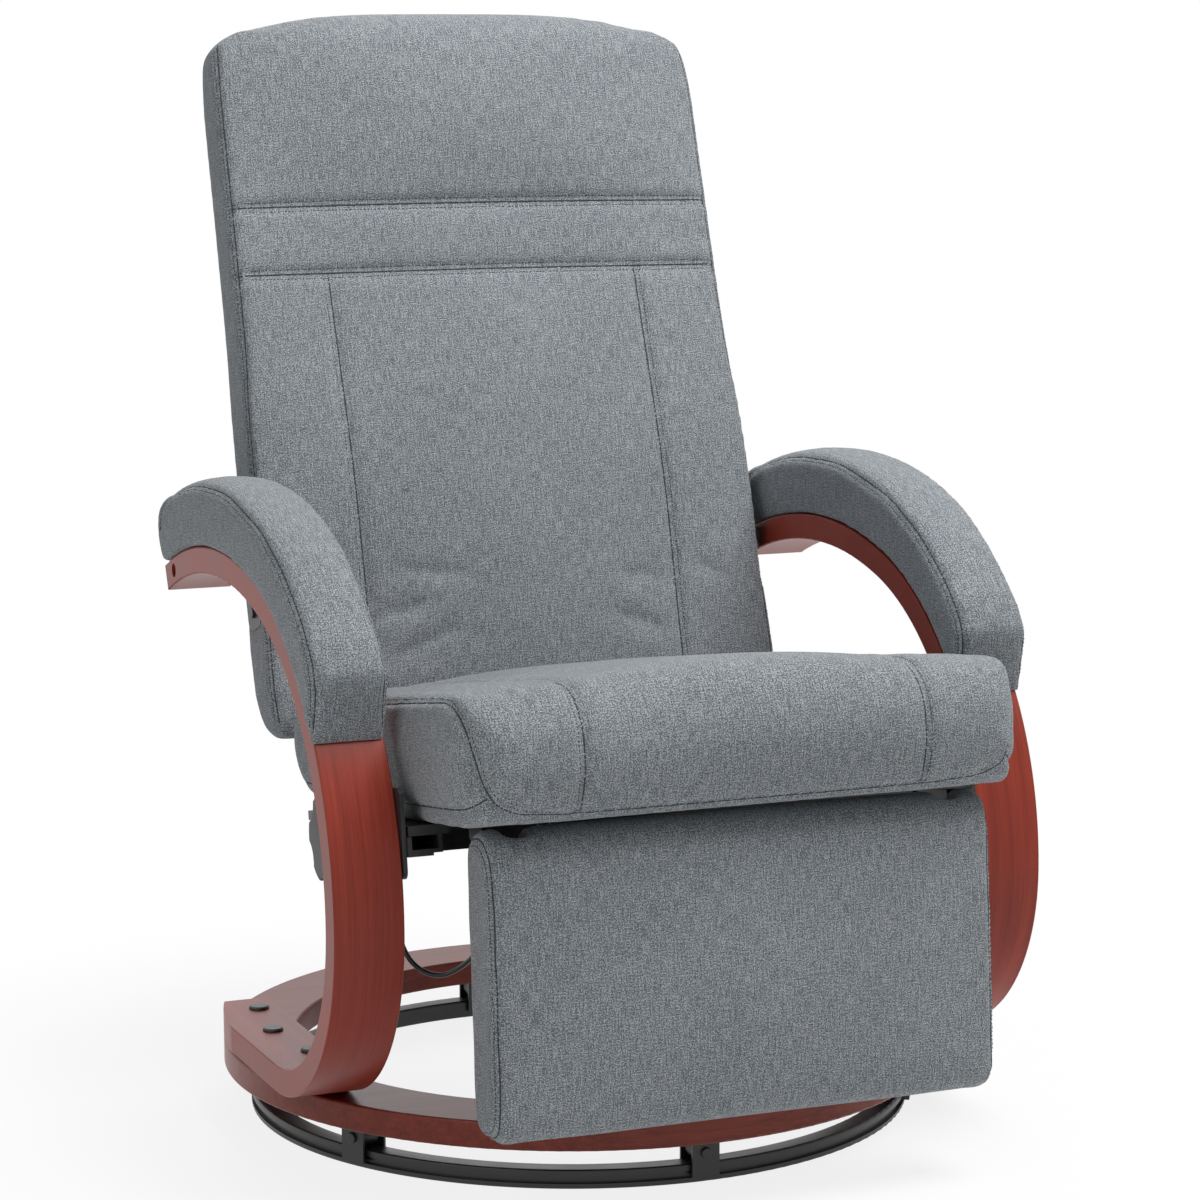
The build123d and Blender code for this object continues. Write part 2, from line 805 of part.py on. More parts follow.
# Upholstered back: lumbar panels, band and head pillow, drawn in at the seams between them
def back_section(z, front, rear, half, crown, channel):
    """Level cut through the back: three front lobes with a sewn channel on each side of the middle."""
    x_sewn = min(back_channel_x, back_channel_share * half)
    x_lobe = (half + x_sewn) / 2
    side = (front + rear) / 2
    sewn = front + channel - crown * (1 - (x_sewn / half) ** 2)
    lobe = front - crown * (1 - (x_lobe / half) ** 2)
    hollow = rear + back_rear_crown * (rear - front) / back_thick_bottom
    edges = [
        ThreePointArc((half, front), (half + back_side_bulge, side), (half, rear)),
        ThreePointArc((half, rear), (0, hollow), (-half, rear)),
        ThreePointArc((-half, rear), (-half - back_side_bulge, side), (-half, front)),
        ThreePointArc((-half, front), (-x_lobe, lobe), (-x_sewn, sewn)),
        ThreePointArc((-x_sewn, sewn), (0, front - crown), (x_sewn, sewn)),
        ThreePointArc((x_sewn, sewn), (x_lobe, lobe), (half, front)),
    ]
    return Pos(0, 0, z) * make_face(edges)


def full_section(z, crown, channel):
    return back_section(z, 0, back_thick_at(z), half_width_at(z), crown, channel)


def foot_section(z, front, thick, inset):
    """Cut through the rounded lower edge of the back."""
    crown = seam_crown + (back_crown - seam_crown) * z / lumbar_full
    return back_section(z, front, back_thick_bottom * thick, half_width_at(z) - inset, crown, 1)


def head_section(share, crown):
    return full_section(band_high + (back_height - band_high) * share, head_crown * crown, 0)


def crest_section(share, front, thick, width, crown):
    """Cut through the rounded top of the head pillow."""
    z = band_high + (back_height - band_high) * share
    return back_section(z, front, back_thick_at(z) * thick, half_width_at(z) * width, head_crown * crown, 0)


def make_back_cushion():
    sections = [foot_section(*cut) for cut in back_foot_cuts]
    sections += [
        full_section(lumbar_full, back_crown, back_channel_depth),
        full_section(lumbar_middle, back_crown, back_channel_depth),
        full_section(band_low - lumbar_draw, back_crown, back_channel_depth),
        full_section(band_low, seam_crown, 1),
        full_section((band_low + band_high) / 2, band_crown, 0),
        full_section(band_high, seam_crown, 0),
    ]
    sections += [head_section(*cut) for cut in head_cuts]
    sections += [crest_section(*cut) for cut in crest_cuts]
    cushion = loft(sections, ruled=True)
    pocket_middle = (pocket_low + pocket_high) / 2
    pocket = RectangleRounded(2 * pocket_half_width, pocket_high - pocket_low, pocket_corner)
    pocket_plane = Plane(origin=(0, pocket_floor, pocket_middle), x_dir=(1, 0, 0), z_dir=(0, 1, 0))
    cushion -= extrude(pocket_plane * pocket, amount=back_thick_bottom)
    neck = neck_outline(seat_gap)
    for x in (-drive_arm_x, drive_arm_x):
        cushion -= cross_plate(neck, x - arm_steel / 2 - seat_gap, x + arm_steel / 2 + seat_gap)
    recess = hinge_recess()
    cushion -= recess
    cushion -= left_of(recess)
    for y, z in hinge_screw_spots:
        deep = hinge_outer_x - hinge_screw_length - seat_gap
        hole = x_rod(hinge_screw_radius + running_gap, y, z, deep, hinge_outer_x)
        cushion -= hole
        cushion -= left_of(hole)
    return back_place * cushion


def hinge_recess():
    """Shallow bed in the side of the back that a hinge plate lies in."""
    bed = RectangleRounded(hinge_width + 2 * seat_gap, hinge_length + 2 * seat_gap, hinge_corner)
    bed = Pos(hinge_set_back, hinge_height) * bed
    return cross_plate(bed, hinge_inner_x, hinge_outer_x + 4 * hinge_steel)


def pocket_slab(inset, low, thick):
    width = 2 * (pocket_half_width - inset)
    height = pocket_high - pocket_low - 2 * inset
    plane = Plane(origin=(0, low, (pocket_low + pocket_high) / 2), x_dir=(1, 0, 0), z_dir=(0, 1, 0))
    return extrude(plane * RectangleRounded(width, height, pocket_corner - inset), amount=thick)


frame_low = pocket_floor + seat_gap


def make_back_frame():
    """Ladder frame with two uprights and three rails."""
    frame = pocket_slab(seat_gap, frame_low, frame_thick)
    height = pocket_high - pocket_low
    window_width = 2 * (pocket_half_width - frame_bar)
    window_height = (height - 3 * frame_bar) / 2
    for side in (-1, 1):
        z = (pocket_low + pocket_high) / 2 + side * (window_height + frame_bar) / 2
        frame -= Pos(0, frame_low, z) * Box(window_width, 4 * frame_thick, window_height)
    return back_place * frame


def make_back_panel():
    return back_place * pocket_slab(seat_gap, frame_low + frame_thick + seat_gap, panel_thick)


# Drive: slotted arms under the back push a rod that rides on the seat
rod_y, rod_z = seat_to_chair(drive_rod_y, drive_rod_z)
rod_far_y, rod_far_z = seat_to_chair(drive_rod_y - seat_travel, drive_rod_z)
slot_start = chair_to_back(rod_y, rod_z)
slot_end = chair_to_back(*reclined(rod_far_y, rod_far_z, -recline_max))


def neck_outline(extra):
    """Part of a drive arm that runs up inside the back to the frame's lower rail."""
    low = slot_start[1]
    front, rear = drive_neck_front - extra, frame_low - seat_gap + extra
    return outline((front, low), (rear, low), (rear, drive_neck_top + extra), (front, drive_neck_top + extra))


def slot_face(radius):
    dy, dz = slot_end[0] - slot_start[0], slot_end[1] - slot_start[1]
    middle = ((slot_start[0] + slot_end[0]) / 2, (slot_start[1] + slot_end[1]) / 2)
    angle = math.degrees(math.atan2(dz, dy))
    return Pos(*middle) * Rot(0, 0, angle) * SlotCenterToCenter(math.hypot(dy, dz), 2 * radius)


def make_drive_arm():
    slot = drive_rod_radius + drive_slot_play
    face = slot_face(slot + drive_margin) + neck_outline(0) - slot_face(slot)
    return back_place * cross_plate(face, drive_arm_x - arm_steel / 2, drive_arm_x + arm_steel / 2)


def make_drive_rod():
    reach = rear_arm_x + arm_steel / 2 + drive_rod_end
    return x_rod(drive_rod_radius, rod_y, rod_z, -reach, reach)


def make_rear_arm():
    bend = math.radians(45)
    flank = rear_arm_eye * math.sin(bend)
    face = outline(
        (board_rear - rear_arm_seat, -board_thick),
        (board_rear + rear_arm_elbow / 4, -board_thick),
        (drive_rod_y - flank, drive_rod_z - flank),
        (drive_rod_y + flank, drive_rod_z - flank),
        (board_rear + rear_arm_elbow, -board_thick - rear_arm_depth),
        (board_rear - rear_arm_seat, -board_thick - rear_arm_depth),
    )
    face += Pos(drive_rod_y, drive_rod_z) * Circle(rear_arm_eye)
    face -= Pos(drive_rod_y, drive_rod_z) * Circle(drive_rod_radius + running_gap)
    return seat_place * cross_plate(face, rear_arm_x - arm_steel / 2, rear_arm_x + arm_steel / 2)


# Seat cushion, board, runners and glides
def seat_section(y, fill, half, skirt):
    """Upright cut across the seat: drawn-in lower sides and three crowned lobes on top."""
    drop = seat_rear_drop * max(y, 0) / seat_rear
    middle = seat_height * 0.5
    low = middle - (middle + skirt) * fill
    top = middle + (seat_height - drop - middle) * fill
    crown = seat_crown * fill
    ratio = seat_channel_x / half
    sewn = top + crown * (1 - ratio**2) - seat_channel_depth * fill
    x_lobe = (half + seat_channel_x) / 2
    lobe = top + crown * (1 - (x_lobe / half) ** 2)
    tuck = seat_tuck * fill
    edges = [
        Line((-half + tuck, low), (half - tuck, low)),
        ThreePointArc((half - tuck, low), (half, low + (top - low) * 0.55), (half - tuck * 0.5, top)),
        ThreePointArc((half - tuck * 0.5, top), (x_lobe, lobe), (seat_channel_x, sewn)),
        ThreePointArc((seat_channel_x, sewn), (0, top + crown), (-seat_channel_x, sewn)),
        ThreePointArc((-seat_channel_x, sewn), (-x_lobe, lobe), (-half + tuck * 0.5, top)),
        ThreePointArc((-half + tuck * 0.5, top), (-half, low + (top - low) * 0.55), (-half + tuck, low)),
    ]
    plane = Plane(origin=(0, y, 0), x_dir=(1, 0, 0), z_dir=(0, -1, 0))
    return plane * make_face(edges)


def make_seat_cushion():
    sections = []
    for angle in (14, 30, 48, 68, 90):
        turn = math.radians(angle)
        y = seat_nose + seat_nose_depth * (1 - math.cos(turn))
        half = seat_half_width - seat_plan_round * math.cos(turn) ** 2
        sections.append(seat_section(y, math.sin(turn), half, seat_skirt))
    rear_half = seat_half_width - seat_waist
    for share in (0.4, 0.75):
        sections.append(seat_section(seat_rear * share, 1, rear_half, seat_skirt))
    for angle in (90, 55, 30):
        turn = math.radians(angle)
        y = seat_rear - seat_rear_round * (1 - math.cos(turn))
        sections.append(seat_section(y, math.sin(turn), rear_half - 3 * seat_waist * math.cos(turn), 0))
    pocket = Pos(0, 0, -2 * board_thick) * extrude(board_face(seat_gap), amount=2 * board_thick)
    return seat_place * (loft(sections, ruled=True) - pocket)


def board_face(extra):
    middle = (board_front + board_rear) / 2
    length = board_rear - board_front + 2 * extra
    return Pos(0, middle) * RectangleRounded(2 * (board_half_width + extra), length, board_corner)


def make_seat_board():
    return seat_place * Pos(0, 0, -board_thick) * extrude(board_face(0), amount=board_thick)


def make_runner():
    length = runner_rear - runner_front
    x = runner_inner_x + runner_width / 2
    y = runner_front + length / 2
    return seat_place * Pos(x, y, runner_top - runner_thick / 2) * Box(runner_width, length, runner_thick)


def make_glides():
    width = slot_outer_x - slot_inner_x - 2 * slide_gap
    height = runner_bottom - slot_floor - slide_gap
    x = (slot_outer_x + slot_inner_x) / 2
    block = Box(width, glide_length, height)
    block = fillet(block.edges().filter_by(Axis.Z), glide_corner)
    return [seat_place * Pos(x, y, runner_bottom - height / 2) * block for y in (glide_first, glide_second)]


def make_front_bar():
    place = seat_place * Pos(0, front_bar_at + front_bar_width / 2, -board_thick - front_bar_thick / 2)
    return place * Box(2 * runner_inner_x, front_bar_width, front_bar_thick)


# Footrest, drawn in its own frame, and the brackets that it hangs from
def make_footrest_bracket():
    reach = footrest_half_thick + footrest_hinge_gap
    face = outline(
        (foot_eye_y, foot_eye_z - footrest_eye),
        (foot_eye_y + reach, foot_eye_z - footrest_eye),
        (front_bar_at, -board_thick - front_bar_thick - footrest_bracket_drop),
        (front_bar_at, -board_thick),
        (foot_eye_y + reach + footrest_bracket_foot, -board_thick),
        (foot_eye_y + reach, foot_eye_z + footrest_eye),
        (foot_eye_y, foot_eye_z + footrest_eye),
    )
    face += Pos(foot_eye_y, foot_eye_z) * Circle(footrest_eye)
    face -= Pos(foot_eye_y, foot_eye_z) * Circle(footrest_pin_radius + running_gap)
    return seat_place * cross_plate(face, footrest_bracket_x, footrest_bracket_x + arm_steel)


def footrest_face(inset, crown):
    """Side outline of the pad: round at the hinge end, softly rounded at the lower end."""
    half = footrest_half_thick
    top = half - inset * 0.4
    low = -footrest_length + inset
    front = -half + inset * 0.5
    rear = half - inset * 0.5
    bend = footrest_bottom_round
    middle = low / 2
    edges = [
        ThreePointArc((front, 0), (front * 0.7071, top * 0.7071), (0, top)),
        ThreePointArc((0, top), (rear * 0.7071, top * 0.7071), (rear, 0)),
        Line((rear, 0), (rear, low + bend)),
        ThreePointArc((rear, low + bend), (rear - bend * 0.2929, low + bend * 0.2929), (rear - bend, low)),
        Line((rear - bend, low), (front + bend, low)),
        ThreePointArc((front + bend, low), (front + bend * 0.2929, low + bend * 0.2929), (front, low + bend)),
        ThreePointArc((front, low + bend), (front - crown, middle), (front, 0)),
    ]
    return make_face(edges)


footrest_board_face = footrest_half_thick - footrest_board_thick - seat_gap


def footrest_slab(inset, low, thick):
    width = 2 * (footrest_half_width - footrest_board_rim - inset)
    height = footrest_length - 2 * footrest_board_rim - 2 * inset
    plane = Plane(origin=(0, low, -footrest_length / 2), x_dir=(1, 0, 0), z_dir=(0, 1, 0))
    return extrude(plane * Rectangle(width, height), amount=thick)


def make_footrest_pad():
    half = footrest_half_width
    left = [(-share, inset, crown) for share, inset, crown in footrest_cuts]
    sections = []
    for share, inset, crown in (*left, *reversed(footrest_cuts[:-1])):
        sections.append(Plane.YZ.offset(share * half) * footrest_face(inset, footrest_crown * crown))
    pad = loft(sections, ruled=True)
    pad -= footrest_slab(0, footrest_board_face - seat_gap, 3 * footrest_half_thick)
    pocket_depth = footrest_arm_reach + footrest_hinge_gap
    pocket_low = footrest_arm_x - footrest_pocket_side
    pocket_high = footrest_bracket_x + arm_steel + footrest_pocket_side
    face = outline(
        (-footrest_pocket_front, -pocket_depth),
        (2 * footrest_half_thick, -pocket_depth),
        (2 * footrest_half_thick, 2 * footrest_half_thick),
        (-footrest_pocket_front, 2 * footrest_half_thick),
    )
    pocket = cross_plate(face, pocket_low, pocket_high)
    return foot_place * (pad - pocket - left_of(pocket))


def make_footrest_board():
    board = footrest_slab(seat_gap, footrest_board_face, footrest_board_thick)
    notch = Pos(footrest_half_thick, 0) * Rectangle(2 * footrest_half_thick, 4 * footrest_eye)
    pocket = cross_plate(
        notch,
        footrest_bracket_x - footrest_pocket_side,
        footrest_bracket_x + arm_steel + footrest_pocket_side,
    )
    return foot_place * (board - pocket - left_of(pocket))


def make_footrest_arm():
    seat = footrest_board_face
    flank = footrest_arm_eye * math.sin(math.radians(45))
    face = outline(
        (-flank, flank),
        (flank, flank),
        (seat, -footrest_eye * 2),
        (seat, -footrest_arm_reach),
        (seat - footrest_arm_depth, -footrest_arm_reach),
        (-flank, -flank),
    )
    face += Circle(footrest_arm_eye)
    face -= Circle(footrest_pin_radius)
    return foot_place * cross_plate(face, footrest_arm_x, footrest_arm_x + arm_steel)


def make_footrest_pin():
    reach = footrest_bracket_x + arm_steel + footrest_pin_end
    return x_rod(footrest_pin_radius, foot_axis_y, foot_axis_z, footrest_arm_x, reach)


# Release cable and its glands
def make_gland(spot):
    x, y = spot
    place = seat_place * Pos(x, y, -board_thick - gland_length / 2)
    body = Cylinder(gland_radius, gland_length)
    return place * fillet(body.edges().group_by(Axis.Z)[0], gland_radius / 3)


def below_gland(spot, depth):
    """Point on a gland's axis, some way below its mouth."""
    y, z = seat_to_chair(spot[1], -board_thick - gland_length - depth)
    return (spot[0], y, z)


def make_cable():
    start = [below_gland(gland_left, depth) for depth in (0, gland_run)]
    end = [below_gland(gland_right, depth) for depth in (gland_run, 0)]
    points = [Vector(*point) for point in (*start, *cable_points, *end)]
    radii = []
    for before, corner, after in zip(points, points[1:], points[2:]):
        run_in, run_out = corner - before, after - corner
        turn = run_in.get_angle(run_out)
        radii.append(0.45 * min(run_in.length, run_out.length) / math.tan(math.radians(turn / 2)))
    print("cable bend radii", [round(radius, 1) for radius in radii])
    path = FilletPolyline(*points, radius=radii)
    mouth = Plane(origin=path @ 0, z_dir=path % 0)
    cable = sweep(mouth * Circle(cable_radius), path=path)
    plain = math.pi * cable_radius**2 * path.length
    print("cable length", round(path.length, 1), "volume share", round(cable.volume / plain, 6))
    return cable


# Write every piece
save("floor_ring", make_floor_ring())
for index, place in enumerate(guide_places()):
    save(f"guide_roller_{index + 1}", place * make_roller())
save("roller_axles", *(place * make_axle() for place in guide_places()))
save("guide_brackets", *(place * make_bracket() for place in guide_places()))
save("bracket_screws", *(place * screw for place in guide_places() for screw in make_bracket_screws()))
save("wood_ring", make_wood_ring())

strip = make_arm_strip()
save("arm_strip_right", strip)
save("arm_strip_left", left_of(strip))
save("foot_bolts", *both_sides(*(make_foot_bolt(place) for place in foot_bolt_places())))
save("foot_bolt_caps", *both_sides(*(make_foot_cap(place) for place in foot_bolt_places())))
pad = make_arm_pad()
save("arm_pad_right", pad)
save("arm_pad_left", left_of(pad))
save("arm_pad_screws", *both_sides(*make_pad_screws()))

plate = make_side_plate()
rail = make_rail()
save("side_plate_right", plate)
save("side_plate_left", left_of(plate - knob_hole()))
save("side_plate_screws", *both_sides(*make_plate_screws()))
save("slide_rail_right", rail)
save("slide_rail_left", left_of(rail - knob_hole()))
save("rail_cross_tube", make_cross_tube())
save("lock_knob", make_knob())
save("knob_stud", make_stud())

save("back_pivot_bushes", *both_sides(make_bush()))
save("back_pivot_pins", *both_sides(make_pivot_pin()))
save("back_hinge_plates", *both_sides(make_hinge_plate()))
save("back_hinge_screws", *both_sides(*make_hinge_screws()))
save("back_cushion", make_back_cushion())
save("back_frame", make_back_frame())
save("back_panel", make_back_panel())
save("drive_arms", *both_sides(make_drive_arm()))

save("seat_cushion", make_seat_cushion())
save("seat_board", make_seat_board())
save("seat_runners", *both_sides(make_runner()))
save("seat_glides", *both_sides(*make_glides()))
save("seat_front_bar", make_front_bar())
save("seat_rear_arms", *both_sides(make_rear_arm()))
save("drive_rod", make_drive_rod())
save("footrest_brackets", *both_sides(make_footrest_bracket()))
save("cable_glands", make_gland(gland_left), make_gland(gland_right))
save("release_cable", make_cable())

save("footrest_pad", make_footrest_pad())
save("footrest_board", make_footrest_board())
save("footrest_arms", *both_sides(make_footrest_arm()))
save("footrest_pins", *both_sides(make_footrest_pin()))
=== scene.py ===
import json
import math

import bmesh
import bpy
import numpy as np
from mathutils import Matrix, Vector
from mathutils.bvhtree import BVHTree


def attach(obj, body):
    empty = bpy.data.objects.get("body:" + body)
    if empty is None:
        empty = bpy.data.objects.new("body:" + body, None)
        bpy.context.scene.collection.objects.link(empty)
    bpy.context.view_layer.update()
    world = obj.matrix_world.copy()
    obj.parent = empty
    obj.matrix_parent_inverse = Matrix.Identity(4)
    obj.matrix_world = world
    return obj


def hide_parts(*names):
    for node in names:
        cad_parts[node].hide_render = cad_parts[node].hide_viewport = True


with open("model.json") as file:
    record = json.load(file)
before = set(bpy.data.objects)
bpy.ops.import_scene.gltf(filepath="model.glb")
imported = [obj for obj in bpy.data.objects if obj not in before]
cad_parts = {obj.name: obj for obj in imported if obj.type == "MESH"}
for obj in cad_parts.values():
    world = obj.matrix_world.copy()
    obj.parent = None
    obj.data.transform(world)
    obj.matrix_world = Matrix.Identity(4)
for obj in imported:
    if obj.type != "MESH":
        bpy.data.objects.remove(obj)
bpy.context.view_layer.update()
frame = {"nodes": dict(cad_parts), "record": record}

# Places shared with the CAD model, in metres. The swivel axis lies a little behind the origin.
swivel_y = 0.0175


def frame_at(y, z, lean):
    """A local frame at y behind the swivel axis and z up, turned back by a lean in degrees."""
    return Matrix.Translation((0, swivel_y + y, z)) @ Matrix.Rotation(math.radians(-lean), 4, "X")


seat_place = frame_at(-0.300, 0.364, 8)
back_place = frame_at(0.111, 0.362, 18)
foot_place = frame_at(-0.378, 0.323, 4)
level_place = frame_at(0, 0, 0)

back_height = 0.760
back_half_bottom = 0.279
back_half_top = 0.265
back_pull_in = 0.003
back_channel = 0.169
band_low = 0.472
band_high = 0.543
pocket_half = 0.215
pocket_low = 0.075
pocket_high = 0.690
seat_channel = 0.165
footrest_half = 0.246
pad_inner = 0.285
pad_outer = 0.359


def half_width_at(height):
    """Half the back's width at a height above its bottom."""
    share = min(max(height / back_height, 0), 1)
    taper = back_half_bottom + (back_half_top - back_half_bottom) * share
    return taper - back_pull_in * math.sin(math.pi * share)


# Camera, light and floor
def add_camera():
    """A long lens at the viewer's left, a little above the seat."""
    data = bpy.data.cameras.new("camera")
    data.sensor_width = 36
    data.lens = 108
    camera = bpy.data.objects.new("camera", data)
    bpy.context.collection.objects.link(camera)
    eye = Vector((-1.3007, -3.2651 + swivel_y, 1.0130))
    target = Vector((0.0220, -0.0090 + swivel_y, 0.4980))
    roll = math.radians(-0.28)
    turn = (target - eye).to_track_quat("-Z", "Y").to_matrix().to_4x4()
    camera.matrix_world = Matrix.Translation(eye) @ turn @ Matrix.Rotation(roll, 4, "Z")
    bpy.context.scene.camera = camera


def add_lamp(name, place, aim, size, watts):
    """A round soft lamp turned towards a point."""
    data = bpy.data.lights.new(name, "AREA")
    data.shape = "DISK"
    data.size = size
    data.energy = watts
    lamp = bpy.data.objects.new(name, data)
    lamp.location = place
    lamp.rotation_euler = (Vector(aim) - Vector(place)).to_track_quat("-Z", "Y").to_euler()
    bpy.context.collection.objects.link(lamp)


def seen_directly(tree):
    """1 for rays that show the background itself: camera, mirror and clear rays."""
    rays = tree.nodes.new("ShaderNodeLightPath")
    seen = rays.outputs["Is Camera Ray"]
    for kind in ("Is Glossy Ray", "Is Transmission Ray"):
        either = tree.nodes.new("ShaderNodeMath")
        either.operation = "MAXIMUM"
        tree.links.new(seen, either.inputs[0])
        tree.links.new(rays.outputs[kind], either.inputs[1])
        seen = either.outputs[0]
    return seen


def add_world(strength):
    """An even white studio, which shows as plain white behind the object."""
    world = bpy.data.worlds.new("studio")
    world.use_nodes = True
    tree = world.node_tree
    light = tree.nodes["Background"]
    light.inputs["Color"].default_value = (1, 1, 1, 1)
    light.inputs["Strength"].default_value = strength
    plain = tree.nodes.new("ShaderNodeBackground")
    plain.inputs["Color"].default_value = (1, 1, 1, 1)
    mix = tree.nodes.new("ShaderNodeMixShader")
    tree.links.new(seen_directly(tree), mix.inputs["Fac"])
    tree.links.new(light.outputs[0], mix.inputs[1])
    tree.links.new(plain.outputs[0], mix.inputs[2])
    tree.links.new(mix.outputs[0], tree.nodes["World Output"].inputs["Surface"])
    bpy.context.scene.world = world


def add_floor():
    """A pale floor that keeps the object's shadow near it and fades to plain white further out."""
    half_size = 12
    below = 0.0005
    shadow_from, shadow_to = 0.35, 0.95
    white_near, white_far = 0.84, 1.0
    mesh = bpy.data.meshes.new("floor")
    shape = bmesh.new()
    bmesh.ops.create_grid(shape, x_segments=2, y_segments=2, size=half_size)
    shape.to_mesh(mesh)
    shape.free()
    floor = bpy.data.objects.new("floor", mesh)
    bpy.context.collection.objects.link(floor)
    material = bpy.data.materials.new("floor")
    material.use_nodes = True
    tree = material.node_tree
    matt = tree.nodes["Principled BSDF"]
    matt.inputs["Base Color"].default_value = (0.86, 0.86, 0.86, 1)
    matt.inputs["Roughness"].default_value = 0.9
    matt.inputs["Specular IOR Level"].default_value = 0.1
    glow = tree.nodes.new("ShaderNodeEmission")
    mix = tree.nodes.new("ShaderNodeMixShader")
    spot = tree.nodes.new("ShaderNodeNewGeometry")
    reach = tree.nodes.new("ShaderNodeVectorMath")
    reach.operation = "LENGTH"
    tree.links.new(spot.outputs["Position"], reach.inputs[0])
    fade = tree.nodes.new("ShaderNodeMapRange")
    fade.interpolation_type = "SMOOTHSTEP"
    fade.inputs["From Min"].default_value = shadow_from
    fade.inputs["From Max"].default_value = shadow_to
    fade.inputs["To Min"].default_value = white_near
    fade.inputs["To Max"].default_value = white_far
    tree.links.new(reach.outputs["Value"], fade.inputs["Value"])
    part = tree.nodes.new("ShaderNodeMath")
    part.operation = "MULTIPLY"
    tree.links.new(seen_directly(tree), part.inputs[0])
    tree.links.new(fade.outputs[0], part.inputs[1])
    tree.links.new(part.outputs[0], mix.inputs["Fac"])
    tree.links.new(matt.outputs[0], mix.inputs[1])
    tree.links.new(glow.outputs[0], mix.inputs[2])
    tree.links.new(mix.outputs[0], tree.nodes["Material Output"].inputs["Surface"])
    mesh.materials.append(material)
    floor.location.z = -below


# Materials
class Surface:
    """A Principled material with a few short ways to add nodes."""

    def __init__(self, name, roughness, specular=0.5):
        self.material = bpy.data.materials.new(name)
        self.material.use_nodes = True
        self.tree = self.material.node_tree
        self.shader = self.tree.nodes["Principled BSDF"]
        self.shader.inputs["Roughness"].default_value = roughness
        self.shader.inputs["Specular IOR Level"].default_value = specular

    def add(self, kind, **settings):
        node = self.tree.nodes.new("ShaderNode" + kind)
        for name, value in settings.items():
            setattr(node, name, value)
        return node

    def link(self, source, target):
        self.tree.links.new(source, target)

    def place(self, source, scale):
        """Scaled coordinates: the cloth's own weave map, or a set that every object has."""
        if source == "weave":
            coordinates = self.add("UVMap", uv_map="weave").outputs["UV"]
        else:
            coordinates = self.add("TexCoord").outputs[source]
        mapping = self.add("Mapping")
        mapping.inputs["Scale"].default_value = scale
        self.link(coordinates, mapping.inputs["Vector"])
        return mapping.outputs[0]

    def noise(self, source, scale, size=1.0, detail=2.0, rough=0.5):
        node = self.add("TexNoise")
        node.inputs["Scale"].default_value = size
        node.inputs["Detail"].default_value = detail
        node.inputs["Roughness"].default_value = rough
        self.link(self.place(source, scale), node.inputs["Vector"])
        return node.outputs["Fac"]

    def math(self, operation, first, second):
        node = self.add("Math", operation=operation)
        for socket, value in zip(node.inputs, (first, second)):
            if isinstance(value, (int, float)):
                socket.default_value = value
            else:
                self.link(value, socket)
        return node.outputs[0]

    def weighted(self, *shares):
        """The sum of some values, each times its share."""
        parts = [self.math("MULTIPLY", value, share) for value, share in shares]
        total = parts[0]
        for part in parts[1:]:
            total = self.math("ADD", total, part)
        return total

    def ramp(self, value, stops):
        node = self.add("ValToRGB")
        elements = node.color_ramp.elements
        while len(elements) < len(stops):
            elements.new(0.5)
        for element, (position, colour) in zip(elements, stops):
            element.position = position
            element.color = (*colour, 1)
        self.link(value, node.inputs["Fac"])
        return node.outputs["Color"]

    def colour(self, value):
        self.link(value, self.shader.inputs["Base Color"])

    def bump(self, height, distance, strength=1.0):
        node = self.add("Bump")
        node.inputs["Distance"].default_value = distance
        node.inputs["Strength"].default_value = strength
        self.link(height, node.inputs["Height"])
        self.link(node.outputs[0], self.shader.inputs["Normal"])

    def roughness(self, value, low, high):
        node = self.add("MapRange")
        node.inputs["To Min"].default_value = low
        node.inputs["To Max"].default_value = high
        self.link(value, node.inputs["Value"])
        self.link(node.outputs[0], self.shader.inputs["Roughness"])


def fabric_material():
    """Heathered plain weave: fine grain crossed by paler slubs, the longer ones along the warp."""
    cloth = Surface("fabric", 0.92, 0.18)
    grain = cloth.noise("weave", (850, 850, 1), detail=1)
    warp = cloth.noise("weave", (700, 60, 1), detail=1)
    weft = cloth.noise("weave", (80, 720, 1), detail=1)
    drift = cloth.math("SUBTRACT", cloth.noise("weave", (7, 7, 1), detail=2), 0.5)
    threads = cloth.weighted((grain, 0.66), (warp, 0.20), (weft, 0.14), (drift, 0.05))
    tones = ((0.39, (0.080, 0.092, 0.102)), (0.5, (0.200, 0.222, 0.240)), (0.61, (0.44, 0.46, 0.475)))
    cloth.colour(cloth.ramp(threads, tones))
    cloth.bump(threads, 0.0008, 0.5)
    cloth.shader.inputs["Sheen Weight"].default_value = 0.12
    cloth.shader.inputs["Sheen Roughness"].default_value = 0.5
    return cloth.material


def thread_material():
    """Dark sewing thread with a fine twist, for the stitches and also for the painted shade tubes along seam
    creases.
    """
    twist = Surface("thread", 0.8, 0.2)
    fibres = twist.noise("Object", (2400, 2400, 2400), detail=2)
    twist.colour(twist.ramp(fibres, ((0.35, (0.028, 0.033, 0.038)), (0.65, (0.070, 0.080, 0.090)))))
    twist.bump(fibres, 0.0002, 0.6)
    return twist.material


def wood_material(name, dark, middle, light, across, along):
    """Lacquered veneer: fine pores and soft figure, scaled along X and over the other two axes."""
    wood = Surface(name, 0.34, 0.22)
    pores = wood.noise("Object", (across, along, along), detail=4, rough=0.7)
    figure = wood.noise("Object", (across * 0.16, along * 0.35, along * 0.35), detail=2)
    stain = wood.weighted((pores, 0.6), (figure, 0.4))
    wood.colour(wood.ramp(stain, ((0.34, dark), (0.5, middle), (0.68, light))))
    wood.bump(pores, 0.0002, 0.35)
    wood.roughness(pores, 0.28, 0.46)
    wood.shader.inputs["Coat Weight"].default_value = 0.06
    wood.shader.inputs["Coat Roughness"].default_value = 0.2
    return wood.material


